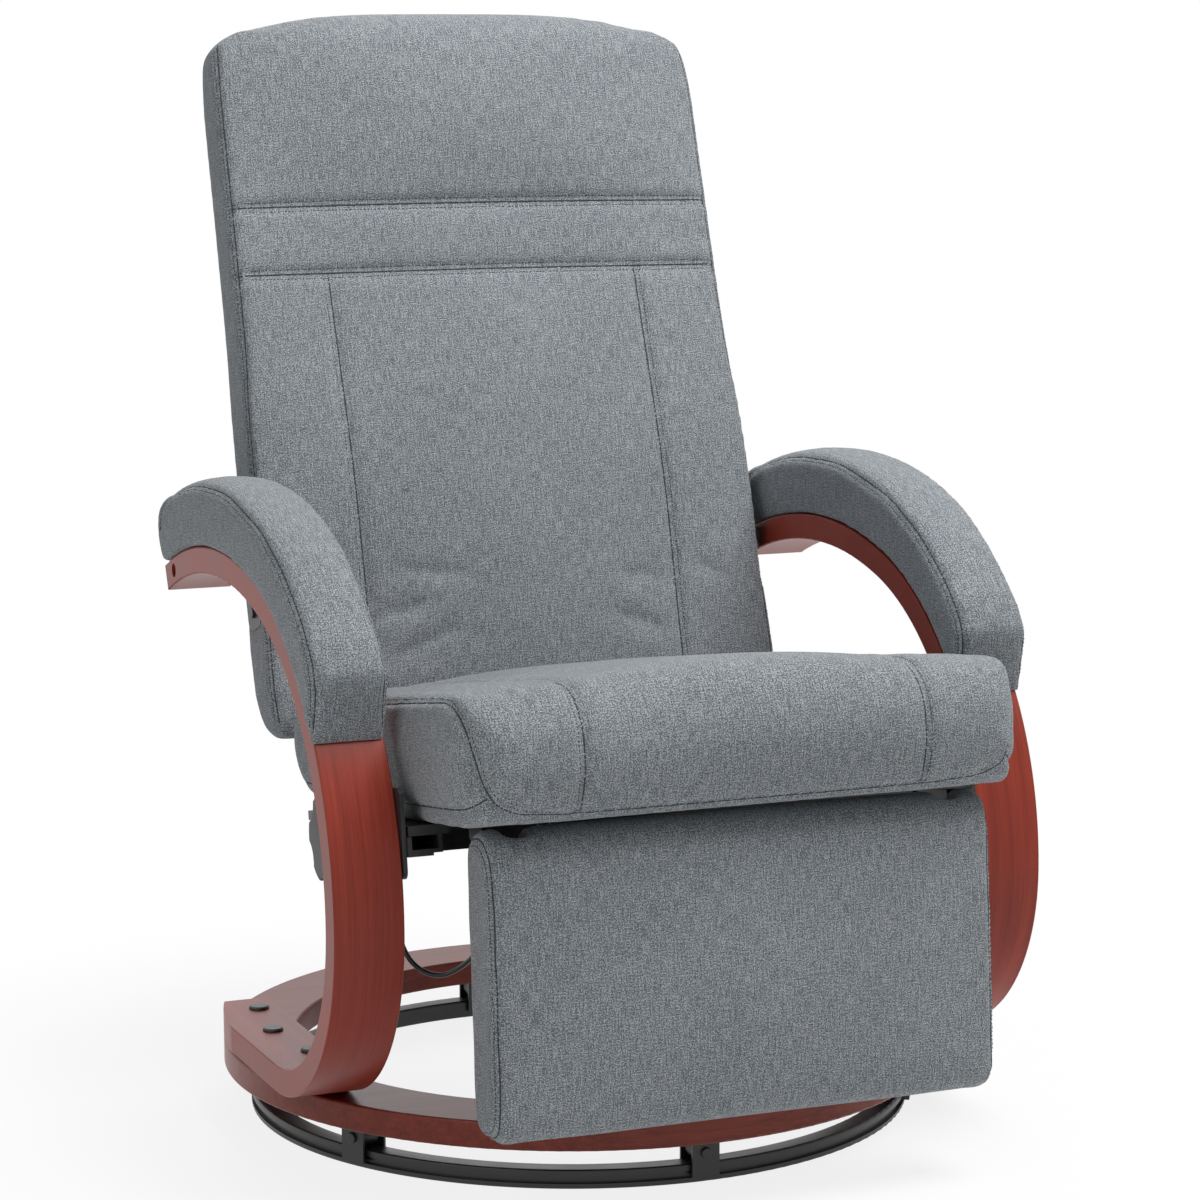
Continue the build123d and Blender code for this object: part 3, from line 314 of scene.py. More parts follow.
def painted_steel():
    """Satin black powder coat with a fine orange-peel skin and slightly worn tone."""
    steel = Surface("black_steel", 0.4)
    skin = steel.noise("Object", (1400, 1400, 1400), detail=2)
    wear = steel.noise("Object", (26, 26, 26), detail=4, rough=0.6)
    steel.colour(steel.ramp(wear, ((0.3, (0.010, 0.010, 0.011)), (0.75, (0.024, 0.024, 0.026)))))
    steel.bump(skin, 0.00012, 0.4)
    steel.roughness(wear, 0.3, 0.48)
    return steel.material


def plated_steel():
    """Bright zinc plate, drawn along its length."""
    steel = Surface("bright_steel", 0.3)
    grain = steel.noise("Object", (90, 900, 900), detail=3)
    steel.colour(steel.ramp(grain, ((0.3, (0.30, 0.30, 0.31)), (0.7, (0.55, 0.55, 0.56)))))
    steel.shader.inputs["Metallic"].default_value = 1
    steel.bump(grain, 0.00008, 0.3)
    steel.roughness(grain, 0.22, 0.38)
    return steel.material


def moulded_plastic(name, dark, light, low, high):
    """Finely grained moulded plastic, a little smoother where it is handled."""
    plastic = Surface(name, 0.5)
    grain = plastic.noise("Object", (1900, 1900, 1900), detail=2)
    handled = plastic.noise("Object", (45, 45, 45), detail=3)
    plastic.colour(plastic.ramp(handled, ((0.3, dark), (0.75, light))))
    plastic.bump(grain, 0.00015, 0.5)
    plastic.roughness(handled, low, high)
    return plastic.material


def dust_cloth():
    """Black non-woven cloth under the seat and behind the footrest."""
    cloth = Surface("black_board", 0.95, 0.15)
    fibres = cloth.noise("Object", (420, 420, 420), detail=4, rough=0.7)
    cloth.colour(cloth.ramp(fibres, ((0.3, (0.010, 0.010, 0.011)), (0.7, (0.028, 0.028, 0.030)))))
    cloth.bump(fibres, 0.0005, 0.5)
    return cloth.material


fabric = fabric_material()
thread = thread_material()
leg_wood = wood_material("stained_wood", (0.200, 0.025, 0.014), (0.272, 0.036, 0.020), (0.345, 0.052, 0.030),
                         across=420, along=9)
ring_wood = wood_material("ring_wood", (0.150, 0.024, 0.015), (0.212, 0.036, 0.021), (0.275, 0.052, 0.032),
                          across=9, along=300)
plain_wood = wood_material("raw_wood", (0.36, 0.24, 0.13), (0.5, 0.36, 0.2), (0.6, 0.46, 0.29),
                           across=160, along=9)
black_steel = painted_steel()
bright_steel = plated_steel()
black_plastic = moulded_plastic("black_plastic", (0.010, 0.010, 0.011), (0.022, 0.022, 0.024),
                                low=0.38, high=0.55)
cable_sheath = moulded_plastic("cable_sheath", (0.014, 0.014, 0.015), (0.03, 0.03, 0.032), low=0.28, high=0.4)
black_board = dust_cloth()

slot_materials = {
    "fabric": fabric,
    "stained_wood": leg_wood,
    "raw_wood": plain_wood,
    "black_board": black_board,
    "black_steel": black_steel,
    "bright_steel": bright_steel,
    "black_plastic": black_plastic,
    "cable_sheath": cable_sheath,
}


def finish_nodes():
    """Give every CAD node the material of its slot."""
    for part in frame["record"]["subparts"]:
        node = part["node"]
        material = ring_wood if node == "wood_ring" else slot_materials[part["material_slot"]]
        for slot in frame["nodes"][node].material_slots:
            slot.material = material


# Mesh helpers
def new_object(name, mesh):
    piece = bpy.data.objects.new(name, mesh)
    bpy.context.collection.objects.link(piece)
    return piece


def settled(piece):
    """Replace a piece's mesh by what its modifiers make of it."""
    graph = bpy.context.evaluated_depsgraph_get()
    mesh = bpy.data.meshes.new_from_object(piece.evaluated_get(graph))
    piece.modifiers.clear()
    piece.data = mesh


def coordinates(mesh):
    """The points of a mesh, one a row."""
    flat = np.empty(len(mesh.vertices) * 3)
    mesh.vertices.foreach_get("co", flat)
    return flat.reshape(-1, 3)


def normals(mesh):
    """The outward directions at the points of a mesh, one a row."""
    flat = np.empty(len(mesh.vertices) * 3)
    mesh.vertex_normals.foreach_get("vector", flat)
    return flat.reshape(-1, 3)


def set_coordinates(mesh, points):
    mesh.vertices.foreach_set("co", np.asarray(points).ravel())
    mesh.update()


def into(place, points):
    """World points in a local frame."""
    turn = np.array(place.inverted())
    return points @ turn[:3, :3].T + turn[:3, 3]


def push(piece, place, axis, amount):
    """Move each point of a piece by its own amount along an axis of a local frame."""
    points = coordinates(piece.data)
    set_coordinates(piece.data, points + amount[:, None] * np.array(place)[:3, axis])


def eased(value):
    """A smooth step from 0 to 1 as a value goes from 0 to 1."""
    share = np.clip(value, 0, 1)
    return share * share * (3 - 2 * share)


def node_copy(name, *nodes):
    """One mesh with the shapes of some CAD nodes, joined up where their faces meet."""
    same_point = 0.00002
    shape = bmesh.new()
    for node in nodes:
        shape.from_mesh(frame["nodes"][node].data)
    bmesh.ops.remove_doubles(shape, verts=shape.verts, dist=same_point)
    mesh = bpy.data.meshes.new(name)
    shape.to_mesh(mesh)
    shape.free()
    return new_object(name, mesh)


def remeshed(piece, voxel, rounds):
    """Even quads all over a piece, with the CAD facets smoothed away."""
    grid = piece.modifiers.new("remesh", "REMESH")
    grid.mode = "VOXEL"
    grid.voxel_size = voxel
    smooth = piece.modifiers.new("smooth", "SMOOTH")
    smooth.factor = 0.5
    smooth.iterations = rounds
    settled(piece)


cloth_steps = 20


def inflate(piece, pinned, pressure, cap):
    """Puff a piece up by cloth simulation; pinned points stay and no point moves past the cap."""
    mesh = piece.data
    start = coordinates(mesh)
    group = piece.vertex_groups.new(name="sewn")
    for level in np.unique(np.round(pinned, 1)):
        chosen = np.flatnonzero(np.abs(pinned - level) <= 0.05).tolist()
        group.add(chosen, float(level), "REPLACE")
    cloth = piece.modifiers.new("cloth", "CLOTH")
    settings = cloth.settings
    settings.quality = 4
    settings.mass = 0.25
    settings.tension_stiffness = 18
    settings.compression_stiffness = 18
    settings.bending_stiffness = 0.8
    settings.vertex_group_mass = "sewn"
    settings.use_pressure = True
    settings.uniform_pressure_force = pressure
    settings.effector_weights.gravity = 0
    cloth.collision_settings.use_collision = False
    scene = bpy.context.scene
    for step in range(1, cloth_steps + 1):
        scene.frame_set(step)
    settled(piece)
    piece.vertex_groups.clear()
    moved = coordinates(piece.data) - start
    length = np.linalg.norm(moved, axis=1)
    share = cap * np.tanh(length / cap) / np.maximum(length, 1e-9)
    set_coordinates(piece.data, start + moved * share[:, None])
    scene.frame_set(1)


depth_axis, height_axis = 1, 2
seat_sag = 0.0045
roll_rise = 0.0045
lumbar_swell = 0.010
lumbar_low = 0.04
crown_drop = 0.011
corner_rounds = 22


def sag(piece):
    """Let the lower front edge of the seat hang a little, ahead of the raised footrest's hinge."""
    local = into(seat_place, coordinates(piece.data))
    front, front_run = -0.085, 0.04
    under, under_run = 0.045, 0.05
    drop = seat_sag * eased((front - local[:, 1]) / front_run) * eased((under - local[:, 2]) / under_run)
    push(piece, seat_place, height_axis, -drop)


def fill_roll(piece):
    """Fill out the rolled top of the footrest towards the seat."""
    local = into(foot_place, coordinates(piece.data))
    roll_low, roll_run = -0.008, 0.03
    push(piece, foot_place, height_axis, roll_rise * eased((local[:, 2] - roll_low) / roll_run))


def swell_lumbar(piece):
    """Fill out the front of the back between the seat and the band."""
    local = into(back_place, coordinates(piece.data))
    share = np.clip((local[:, 2] - lumbar_low) / (band_low - lumbar_low), 0, 1)
    middle, middle_run = 0.04, 0.05
    front = eased((middle - local[:, 1]) / middle_run)
    push(piece, back_place, depth_axis, -lumbar_swell * np.sin(math.pi * share) ** 2 * front)


def round_crown(piece):
    """Bow the top of the head pillow down towards its two corners, and round those off."""
    local = into(back_place, coordinates(piece.data))
    from_middle = np.abs(local[:, 0])
    bow_from, bow_run = 0.10, 0.17
    head_low, head_run = 0.62, 0.12
    drop = crown_drop * eased((from_middle - bow_from) / bow_run) * eased((local[:, 2] - head_low) / head_run)
    push(piece, back_place, height_axis, -drop)
    corner_from, corner_low, corner_run = 0.17, 0.65, 0.06
    weight = eased((from_middle - corner_from) / corner_run) * eased((local[:, 2] - corner_low) / corner_run)
    group = piece.vertex_groups.new(name="corners")
    for level in np.linspace(0.1, 1.0, 10):
        group.add(np.flatnonzero(np.abs(weight - level) <= 0.05).tolist(), float(level), "REPLACE")
    smooth = piece.modifiers.new("round", "SMOOTH")
    smooth.vertex_group = "corners"
    smooth.iterations = corner_rounds
    settled(piece)
    piece.vertex_groups.clear()


def refined(piece):
    """Divide the faces of a piece once."""
    piece.modifiers.new("finer", "SUBSURF").levels = 1
    settled(piece)


def weave_map(piece, place):
    """Lay the weave flat on each side of a piece, in metres along its own axes."""
    mesh = piece.data
    local = into(place, coordinates(mesh))
    facing = np.empty(len(mesh.polygons) * 3)
    mesh.polygons.foreach_get("normal", facing)
    facing = np.abs(facing.reshape(-1, 3) @ np.array(place.to_3x3()))
    front_and_top_first = (0.9, 1.0, 1.0)
    side = np.argmax(facing * front_and_top_first, axis=1)
    counts = np.empty(len(mesh.polygons), dtype=int)
    mesh.polygons.foreach_get("loop_total", counts)
    corner_side = np.repeat(side, counts)
    corner = np.empty(len(mesh.loops), dtype=int)
    mesh.loops.foreach_get("vertex_index", corner)
    point = local[corner]
    across = np.where(corner_side == 0, point[:, 1], point[:, 0])
    up = np.where(corner_side == 2, point[:, 1], point[:, 2])
    layer = mesh.uv_layers.new(name="weave")
    layer.data.foreach_set("uv", np.column_stack((across, up)).ravel())


def dressed(piece, body, place, *nodes, fill):
    """Finish a soft piece: weave, material, body and the CAD nodes that it stands for."""
    weave_map(piece, place)
    piece.data.materials.clear()
    piece.data.materials.append(fabric)
    piece.data.polygons.foreach_set("use_smooth", [True] * len(piece.data.polygons))
    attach(piece, body)
    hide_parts(*nodes)


# Seams: a line pressed into the surface, a dark tube in it as painted shade along the fold, and rows of
# stitches beside it
line_step = 0.005
press_reach = 0.05
swell_place, swell_spread = 3.2, 2.2
pucker_pitch = 0.019
pucker_drift = 0.083
pucker_reach = 0.013
pucker_gap = 0.003
end_share, end_fade = 0.25, 0.02
sunk_share = 0.65


def sampled(points):
    """Points along a polyline at an even step."""
    points = np.array(points, dtype=float)
    reach = np.concatenate(([0], np.cumsum(np.linalg.norm(np.diff(points, axis=0), axis=1))))
    count = max(int(reach[-1] / line_step), 2)
    at = np.linspace(0, reach[-1], count)
    return np.column_stack([np.interp(at, reach, points[:, axis]) for axis in range(3)])


def smoothed(points, rounds=8):
    """A path with its jitter evened out and its ends kept."""
    for _ in range(rounds):
        inner = (points[:-2] + 2 * points[1:-1] + points[2:]) / 4
        points = np.vstack((points[:1], inner, points[-1:]))
    return points


class Skin:
    """The surface of a soft piece, for laying seams on it."""

    def __init__(self, piece, place):
        self.piece = piece
        self.place = place
        self.refresh()

    def refresh(self):
        mesh = self.piece.data
        points = coordinates(mesh)
        faces = [tuple(face.vertices) for face in mesh.polygons]
        self.tree = BVHTree.FromPolygons([Vector(point) for point in points], faces)

    def nearest(self, points):
        found = [self.tree.find_nearest(Vector(point)) for point in points]
        return np.array([spot[0] for spot in found]), np.array([spot[1] for spot in found])

    def line(self, local_points, toward=None):
        """A path on the surface: straight down a local direction, or to the nearest place."""
        path = sampled(local_points)
        turn = np.array(self.place)
        world = path @ turn[:3, :3].T + turn[:3, 3]
        if toward is not None:
            ray = Vector(turn[:3, :3] @ np.array(toward, dtype=float)).normalized()
            hits = [self.tree.ray_cast(Vector(point), ray)[0] for point in world]
            world = np.array([hit for hit in hits if hit is not None])
        else:
            world = self.nearest(world)[0]
        return smoothed(world)


def press(skin, lines, depth, width, puff, pucker=0.0003):
    """Draw the surface in along seam lines, swell it beside them and pucker it a little.

    Returns the lines as they lie in their grooves."""
    mesh = skin.piece.data
    points = coordinates(mesh)
    outward = normals(mesh)
    shift = np.zeros(len(points))
    sunk = []
    for path in lines:
        line, up = skin.nearest(path)
        low, high = line.min(axis=0) - press_reach, line.max(axis=0) + press_reach
        near = np.flatnonzero(np.all((points > low) & (points < high), axis=1))
        gap = np.full(len(near), 1.0)
        spot_index = np.zeros(len(near))
        for index, spot in enumerate(line):
            distance = np.linalg.norm(points[near] - spot, axis=1)
            closer = distance < gap
            gap[closer] = distance[closer]
            spot_index[closer] = index
        along = spot_index * line_step
        from_end = np.minimum(along, (len(line) - 1) * line_step - along)
        groove = -depth * np.exp(-((gap / width) ** 2))
        swell = puff * np.exp(-(((gap - swell_place * width) / (swell_spread * width)) ** 2))
        swing = 2 * np.sin(along * 2 * math.pi / pucker_drift)
        wave = pucker * np.sin(along * 2 * math.pi / pucker_pitch + swing)
        wave *= np.exp(-((gap / pucker_reach) ** 2)) * (1 - np.exp(-((gap / pucker_gap) ** 2)))
        shift[near] += (groove + swell + wave) * np.clip(end_share + from_end / end_fade, 0, 1)
        sunk.append(smoothed(line - sunk_share * depth * up, 2))
    set_coordinates(mesh, points + outward * shift[:, None])
    skin.refresh()
    return sunk


def beside(skin, line, offset):
    """A line on the surface at some distance to one side of another."""
    spots, up = skin.nearest(line)
    ahead = np.gradient(spots, axis=0)
    ahead /= np.maximum(np.linalg.norm(ahead, axis=1), 1e-9)[:, None]
    return smoothed(skin.nearest(spots + np.cross(up, ahead) * offset)[0])


def rows_beside(skin, lines, offsets):
    """Rows for stitches, at one or more distances to one side of each line."""
    return [beside(skin, line, offset) for line, beyond in zip(lines, offsets) for offset in beyond]


def press_rows(skin, rows):
    """A shallow groove under each row of stitches."""
    return press(skin, rows, depth=0.0011, width=0.0022, puff=0.0003, pucker=0)


def tube_into(shape, path, up, radius, sides=6):
    """Add a thin closed tube along a path to a mesh being built, narrower at its two ends."""
    end_taper = 0.55
    rings = []
    count = len(path)
    for index in range(count):
        ahead = path[min(index + 1, count - 1)] - path[max(index - 1, 0)]
        ahead = ahead / max(np.linalg.norm(ahead), 1e-9)
        side = np.cross(up[index], ahead)
        side = side / max(np.linalg.norm(side), 1e-9)
        top = np.cross(ahead, side)
        taper = end_taper if index in (0, count - 1) else 1.0
        ring = []
        for corner in range(sides):
            turn = 2 * math.pi * corner / sides
            outward = math.cos(turn) * side + math.sin(turn) * top
            ring.append(shape.verts.new(path[index] + taper * radius * outward))
        rings.append(ring)
    for first, second in zip(rings, rings[1:]):
        for corner in range(sides):
            following = (corner + 1) % sides
            shape.faces.new((first[corner], first[following], second[following], second[corner]))
    shape.faces.new(reversed(rings[0]))
    shape.faces.new(rings[-1])


stitch_pitch = 0.0038
stitch_length = 0.0027
stitch_radius = 0.0005
stitch_spots = np.array((0, 0.3, 0.7, 1))
stitch_lifts = np.array((-0.5, 0.35, 0.35, -0.5))
stitch_sides = 5
# Size and sinking of the dark tube that paints shade along each seam crease.
fold_shade_radius = 0.0010
fold_shade_sunk = 0.35


def sew(skin, name, body, fold_shade_lines, rows):
    """Dark tubes along seam lines as painted shade in their creases, and stitches along the rows beside them.
    """
    shape = bmesh.new()
    for line in fold_shade_lines:
        spots, up = skin.nearest(line)
        # A tube in the dark thread colour, sunk into the groove: painted shade along the seam's crease.
        tube_into(shape, spots - up * fold_shade_radius * fold_shade_sunk, up, fold_shade_radius)
    for line in rows:
        row, row_up = skin.nearest(line)
        reach = np.concatenate(([0], np.cumsum(np.linalg.norm(np.diff(row, axis=0), axis=1))))
        for start in np.arange(stitch_pitch, reach[-1] - stitch_pitch, stitch_pitch):
            at = start + stitch_spots * stitch_length
            path = np.column_stack([np.interp(at, reach, row[:, axis]) for axis in range(3)])
            normal = np.column_stack([np.interp(at, reach, row_up[:, axis]) for axis in range(3)])
            lift = stitch_lifts * stitch_radius
            tube_into(shape, path + normal * lift[:, None], normal, stitch_radius, stitch_sides)
    mesh = bpy.data.meshes.new(name)
    shape.to_mesh(mesh)
    shape.free()
    mesh.polygons.foreach_set("use_smooth", [True] * len(mesh.polygons))
    piece = new_object(name, mesh)
    mesh.materials.append(thread)
    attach(piece, body)


def near_lines(points, lines, reach):
    """How much each point belongs to a sewn line: 1 on it and close by, falling to 0 at the reach."""
    hold = 1.5
    gap = np.full(len(points), 1.0)
    for line in lines:
        for spot in line[::2]:
            gap = np.minimum(gap, np.linalg.norm(points - spot, axis=1))
    return np.clip(hold - gap / reach * hold, 0, 1)


def soft_piece(name, node_names, place, voxel, rounds, shrink):
    """The CAD form of a cushion as an even mesh, a little smaller than its solid."""
    piece = node_copy(name, *node_names)
    remeshed(piece, voxel, rounds)
    mesh = piece.data
    set_coordinates(mesh, coordinates(mesh) - normals(mesh) * shrink)
    return piece, Skin(piece, place)


# Cushions. Seams on the front and the rear of the back are found from a place clear of it
clear = 0.2
rearward, forward = (0, 1, 0), (0, -1, 0)
across_inset = 0.003
edge_inset = 0.004


def back_lines(skin):
    """Seams of the back: two across, two down the lumbar panel, one up each side and four behind."""
    across = []
    for height in (band_low, band_high):
        half = half_width_at(height) - across_inset
        across.append(skin.line(((-half, -clear, height), (half, -clear, height)), rearward))
    down = []
    for side in (-1, 1):
        x = back_channel * side
        down.append(skin.line(((x, -clear, band_low - 0.002), (x, -clear, 0.03)), rearward))
    edges = []
    for side in (-1, 1):
        heights = np.linspace(0.012, 0.69, 14)
        path = [(side * (half_width_at(height) - edge_inset), 0.001, height) for height in heights]
        crest = ((0.261, 0.003, 0.703), (0.257, 0.010, 0.720))
        path += [(side * x, y, z) for x, y, z in crest]
        edges.append(skin.line(path))
    rear = []
    corners = ((-1, pocket_low), (1, pocket_low), (1, pocket_high), (-1, pocket_high), (-1, pocket_low))
    for (first, low), (second, high) in zip(corners, corners[1:]):
        ends = ((first * pocket_half, clear, low), (second * pocket_half, clear, high))
        rear.append(skin.line(ends, forward))
    return across, down, edges, rear


def back_creases(skin):
    """Soft creases where the back meets the seat, as a cushion that has been sat on shows them."""
    ends = (((-0.150, 0.070), (-0.070, 0.098)), ((-0.158, 0.112), (-0.095, 0.126)),
            ((-0.140, 0.158), (-0.060, 0.150)), ((0.152, 0.082), (0.085, 0.104)),
            ((0.155, 0.135), (0.105, 0.142)), ((-0.235, 0.120), (-0.190, 0.140)),
            ((-0.232, 0.172), (-0.186, 0.184)), ((0.234, 0.130), (0.190, 0.150)))
    return [skin.line(((x0, -clear, z0), (x1, -clear, z1)), rearward) for (x0, z0), (x1, z1) in ends]


def make_back():
    """The back with its lumbar panels, band and head pillow, held tight behind by its frame."""
    rear_from, rear_run, rear_hold = 0.02, 0.02, 0.85
    nodes = ("back_cushion", "back_panel", "back_frame")
    piece, skin = soft_piece("back", nodes, back_place, voxel=0.006, rounds=8, shrink=0.001)
    swell_lumbar(piece)
    round_crown(piece)
    skin.refresh()
    across, down, edges, rear = back_lines(skin)
    points = coordinates(piece.data)
    pinned = near_lines(points, across + down + edges + rear, reach=0.02)
    local = into(back_place, points)
    pinned = np.maximum(pinned, np.clip((local[:, 1] - rear_from) / rear_run, 0, rear_hold))
    inflate(piece, pinned, pressure=10.0, cap=0.012)
    refined(piece)
    skin.refresh()
    across, down, edges, rear = back_lines(skin)
    both = (-0.0047, 0.0047)
    offsets = [both, both, (-0.005,), (0.005,), (0.005,), (-0.005,)] + [(0.006,)] * len(rear)
    rows = rows_beside(skin, across + down + edges + rear, offsets)
    fold_shade_lines = press(skin, across, depth=0.0021, width=0.0050, puff=0.0010, pucker=0.0002)
    fold_shade_lines += press(skin, down, depth=0.0028, width=0.0046, puff=0.0010)
    fold_shade_lines += press(skin, edges, depth=0.0020, width=0.0036, puff=0.0006, pucker=0.0001)
    fold_shade_lines += press(skin, rear, depth=0.0030, width=0.0045, puff=0.0008)
    press(skin, back_creases(skin), depth=0.0018, width=0.0075, puff=0.0009, pucker=0)
    rows = press_rows(skin, rows)
    dressed(piece, "backrest", back_place, "back_cushion", "back_panel", fill=0.8)
    sew(skin, "back_seams", "backrest", fold_shade_lines, rows)


def seat_lines(skin):
    """Seams of the seat: two over the top and front, one round each side panel and one below."""
    over = []
    for side in (-1, 1):
        x = side * seat_channel
        profile = ((0.360, 0.095), (0.2, 0.108), (0.05, 0.116), (-0.04, 0.119), (-0.095, 0.112),
                   (-0.128, 0.092), (-0.144, 0.062), (-0.144, 0.037), (-0.134, 0.014), (-0.119, -0.001))
        over.append(skin.line([(x, y, z) for y, z in profile]))
    edges = []
    for side in (-1, 1):
        path = ((0.270, 0.365, 0.080), (0.272, 0.2, 0.094), (0.272, 0.02, 0.103),
                (0.2705, -0.06, 0.102), (0.268, -0.095, 0.098), (0.264, -0.115, 0.080),
                (0.262, -0.124, 0.052), (0.257, -0.128, 0.030), (0.252, -0.1295, 0.016),
                (0.240, -0.128, 0.006), (0.222, -0.122, 0.001))
        edges.append(skin.line([(side * x, y, z) for x, y, z in path]))
    below = [skin.line(((-0.222, -0.122, 0.001), (-0.19, -0.1165, -0.003), (-0.1, -0.115, -0.004),
                        (0.1, -0.115, -0.004), (0.19, -0.1165, -0.003), (0.222, -0.122, 0.001)))]
    for side in (-1, 1):
        path = ((0.252, -0.1295, 0.016), (0.260, -0.118, 0.009), (0.265, -0.108, 0.006),
                (0.268, -0.04, 0.004), (0.268, 0.15, 0.004), (0.267, 0.362, 0.010))
        below.append(skin.line([(side * x, y, z) for x, y, z in path]))
    return over, edges, below


def make_seat():
    """The seat, flat below where its board carries it."""
    board_top, board_run = 0.004, 0.01
    piece, skin = soft_piece("seat", ("seat_cushion",), seat_place, voxel=0.006, rounds=8, shrink=0.001)
    over, edges, below = seat_lines(skin)
    points = coordinates(piece.data)
    pinned = near_lines(points, over + edges + below, reach=0.02)
    local = into(seat_place, points)
    pinned = np.maximum(pinned, np.clip((board_top - local[:, 2]) / board_run, 0, 1))
    inflate(piece, pinned, pressure=6.0, cap=0.012)
    sag(piece)
    refined(piece)
    skin.refresh()
    over, edges, below = seat_lines(skin)
    offsets = [(-0.005,), (0.005,), (0.005,), (-0.005,), (0.005,)]
    rows = rows_beside(skin, over + edges + below[:1], offsets)
    fold_shade_lines = press(skin, over, depth=0.0034, width=0.0048, puff=0.0014)
    fold_shade_lines += press(skin, edges, depth=0.0026, width=0.0042, puff=0.0010)
    fold_shade_lines += press(skin, below, depth=0.0030, width=0.0045, puff=0.0010)
    rows = press_rows(skin, rows)
    dressed(piece, "seat", seat_place, "seat_cushion", fill=0.75)
    sew(skin, "seat_seams", "seat", fold_shade_lines, rows)


def footrest_lines(skin):
    """A seam along each end of the pad, from the rear of its rolled top to the rear of its lower edge."""
    profile = ((0.020, 0.026), (0, 0.0325), (-0.018, 0.027), (-0.029, 0.012), (-0.0325, -0.01),
               (-0.0335, -0.1), (-0.0335, -0.2), (-0.029, -0.228), (-0.015, -0.2385), (0.01, -0.2395))
    inset = 0.002
    return [skin.line([(side * (footrest_half - inset), y, z) for y, z in profile]) for side in (-1, 1)]


def make_footrest():
    """The footrest, held flat behind by its board and firm round its rolled top."""
    board_face, board_run = -0.012, 0.012
    firm_from, firm_run = -0.09, 0.03
    piece, skin = soft_piece("footrest", ("footrest_pad",), foot_place, voxel=0.005, rounds=6, shrink=0.001)
    lines = footrest_lines(skin)
    points = coordinates(piece.data)
    local = into(foot_place, points)
    pinned = near_lines(points, lines, reach=0.018)
    pinned = np.maximum(pinned, np.clip((local[:, 1] - board_face) / board_run, 0, 1))
    pinned = np.maximum(pinned, eased((local[:, 2] - firm_from) / firm_run))
    inflate(piece, pinned, pressure=4.0, cap=0.008)
    fill_roll(piece)
    refined(piece)
    skin.refresh()
    lines = footrest_lines(skin)
    rows = rows_beside(skin, lines, [(-0.006,), (0.006,)])
    fold_shade_lines = press(skin, lines, depth=0.0022, width=0.0040, puff=0.0009)
    rows = press_rows(skin, rows)
    dressed(piece, "footrest", foot_place, "footrest_pad", fill=0.8)
    sew(skin, "footrest_seams", "footrest", fold_shade_lines, rows)


# The arm strip's line in (y, z): three tangent bends that start at the front of its foot
strip_start = (-0.1165 + swivel_y, 0.0695)
strip_bends = ((0.189, 90.0), (0.295, 73.7), (0.491, 39.0))
last_bend_centre = (0.0445, 0.0704)
pad_floor = 0.006


def strip_at(turn, out):
    """Point (y, z) at a turn along the strip, measured out from its convex face."""
    y, z = strip_start
    heading = 180.0
    last = len(strip_bends) - 1
    for index, (radius, bend) in enumerate(strip_bends):
        side = math.radians(heading - 90)
        centre = (y + radius * math.cos(side), z + radius * math.sin(side))
        ray = math.radians(heading - min(turn, bend) + 90)
        here = turn <= bend or index == last
        reach = radius + out if here else radius
        y, z = centre[0] + reach * math.cos(ray), centre[1] + reach * math.sin(ray)
        if here:
            break
        turn -= bend
        heading -= bend
    return y, z


def pad_lines(skin, side):
    """Seams along both upper edges of an arm pad and down its lower end."""
    inset = 0.003
    profile = ((200.8, 0.030), (199.8, 0.052), (196, 0.062), (188, 0.064), (176, 0.063), (164, 0.060),
               (152, 0.057), (142, 0.055), (134, 0.052), (130.4, 0.046), (128.2, 0.030), (125.2, 0.010))
    lines = []
    for x in (pad_inner + inset, pad_outer - inset):
        path = [(side * x, *strip_at(turn, out)) for turn, out in profile]
        lines.append(skin.line([(px, py - swivel_y, pz) for px, py, pz in path]))
    return lines


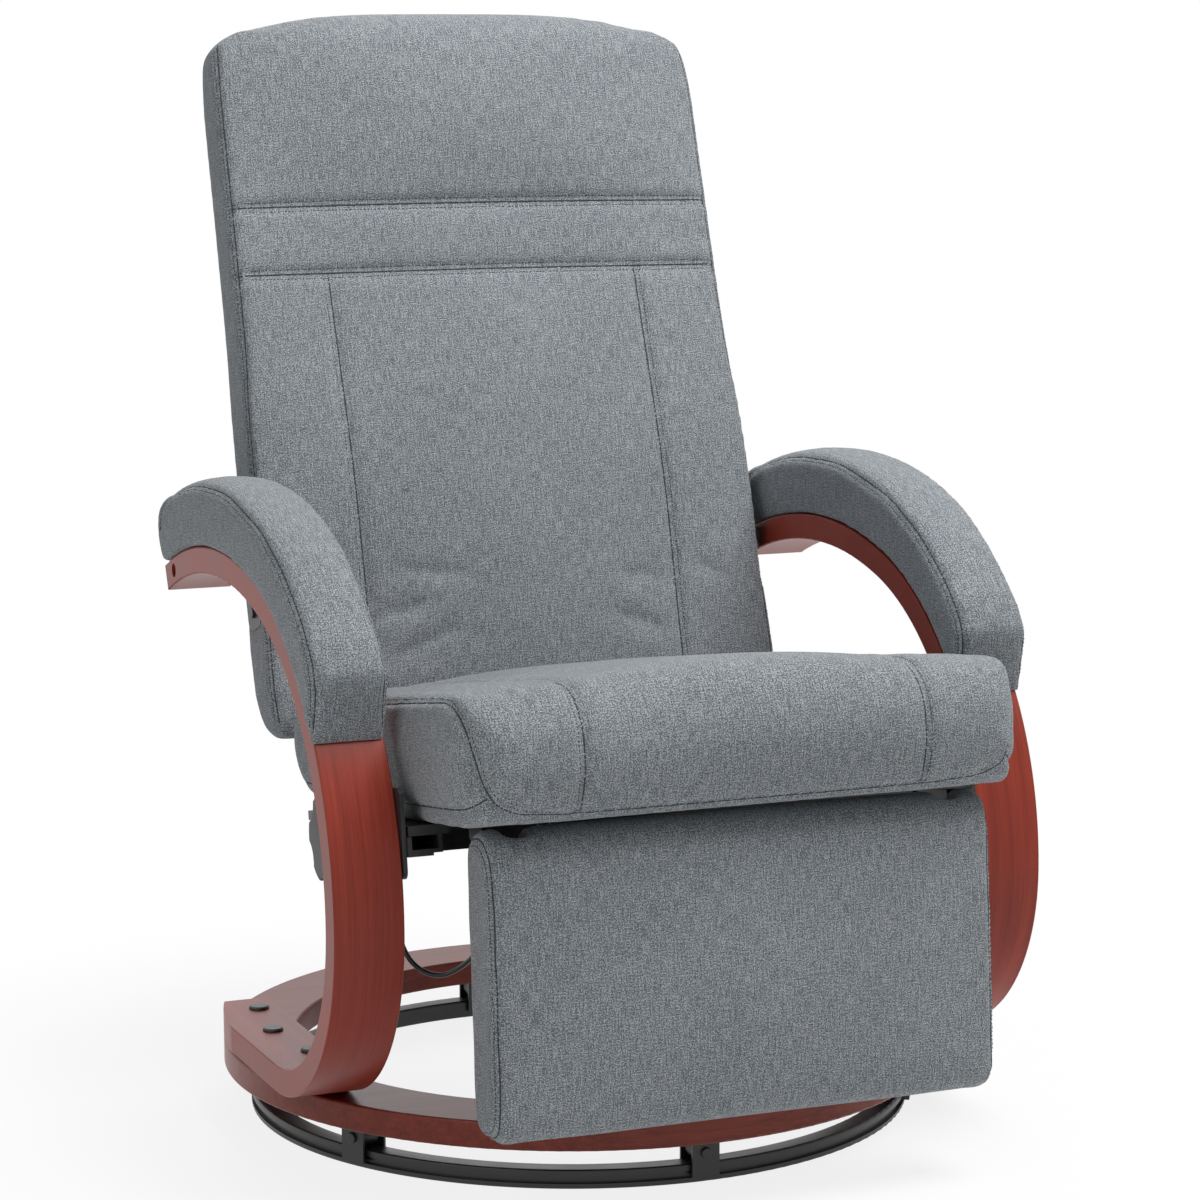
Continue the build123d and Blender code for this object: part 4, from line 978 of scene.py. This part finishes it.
def make_arm_pad(name, side):
    """An arm pad, which follows the upper bend of its strip and lies flat on it."""
    node = "arm_pad_" + name
    piece, skin = soft_piece("pad_" + name, (node,), level_place, voxel=0.0045, rounds=6, shrink=0.0005)
    lines = pad_lines(skin, side)
    points = coordinates(piece.data)
    pinned = near_lines(points, lines, reach=0.014)
    centre_y, centre_z = last_bend_centre
    from_centre = np.hypot(points[:, 1] - swivel_y - centre_y, points[:, 2] - centre_z)
    under = from_centre < strip_bends[-1][0] + pad_floor
    pinned = np.maximum(pinned, under.astype(float))
    inflate(piece, pinned, pressure=90.0, cap=0.007)
    refined(piece)
    skin.refresh()
    lines = pad_lines(skin, side)
    rows = rows_beside(skin, lines, [(-0.005 * side,), (0.005 * side,)])
    fold_shade_lines = press(skin, lines, depth=0.0022, width=0.0038, puff=0.0008)
    rows = press_rows(skin, rows)
    dressed(piece, "chair", level_place, node, fill=0.8)
    sew(skin, "pad_seams_" + name, "chair", fold_shade_lines, rows)


# Release cable between its two glands, which hang square to the seat board
board_thick = 0.012
rear_gland = (-0.234, 0.180)
front_gland = (-0.150, 0.008)
gland_long = 0.016
gland_lead = 0.034
cable_radius = 0.0025
cable_route = ((-0.236, -0.1215, 0.246), (-0.238, -0.1245, 0.212), (-0.226, -0.1295, 0.184),
               (-0.203, -0.1375, 0.172), (-0.184, -0.1525, 0.184), (-0.173, -0.1745, 0.207),
               (-0.162, -0.2035, 0.234), (-0.153, -0.2395, 0.264))


def gland_point(gland, depth):
    """A point below the mouth of a cable gland."""
    return tuple(seat_place @ Vector((*gland, -board_thick - gland_long - depth)))


def make_cable():
    """The cable as one smooth curve along its route, straight out of both glands."""
    start = [gland_point(rear_gland, depth) for depth in (0, gland_lead)]
    end = [gland_point(front_gland, depth) for depth in (gland_lead, 0)]
    route = start + list(cable_route) + end
    data = bpy.data.curves.new("release_line", "CURVE")
    data.dimensions = "3D"
    spline = data.splines.new("NURBS")
    spline.points.add(len(route) - 1)
    for point, spot in zip(spline.points, route):
        point.co = (*spot, 1)
    spline.use_endpoint_u = True
    spline.order_u = 3
    spline.resolution_u = 10
    data.bevel_depth = cable_radius
    data.bevel_resolution = 3
    data.use_fill_caps = True
    piece = new_object("release_line", data)
    data.materials.append(cable_sheath)
    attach(piece, "seat")
    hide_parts("release_cable")


bpy.context.scene.view_settings.view_transform = "Standard"
add_camera()
add_world(strength=0.19)
add_floor()
add_lamp("key", place=(1.0, -0.90, 3.5), aim=(0, 0, 0.55), size=2.2, watts=124)
add_lamp("fill", place=(-2.7, -1.4, 1.9), aim=(0, 0, 0.5), size=2.4, watts=18)
add_lamp("rear", place=(0.6, 2.8, 2.6), aim=(0, 0, 0.7), size=2.4, watts=34)
finish_nodes()
make_cable()
make_back()
make_seat()
make_footrest()
make_arm_pad("left", -1)
make_arm_pad("right", 1)
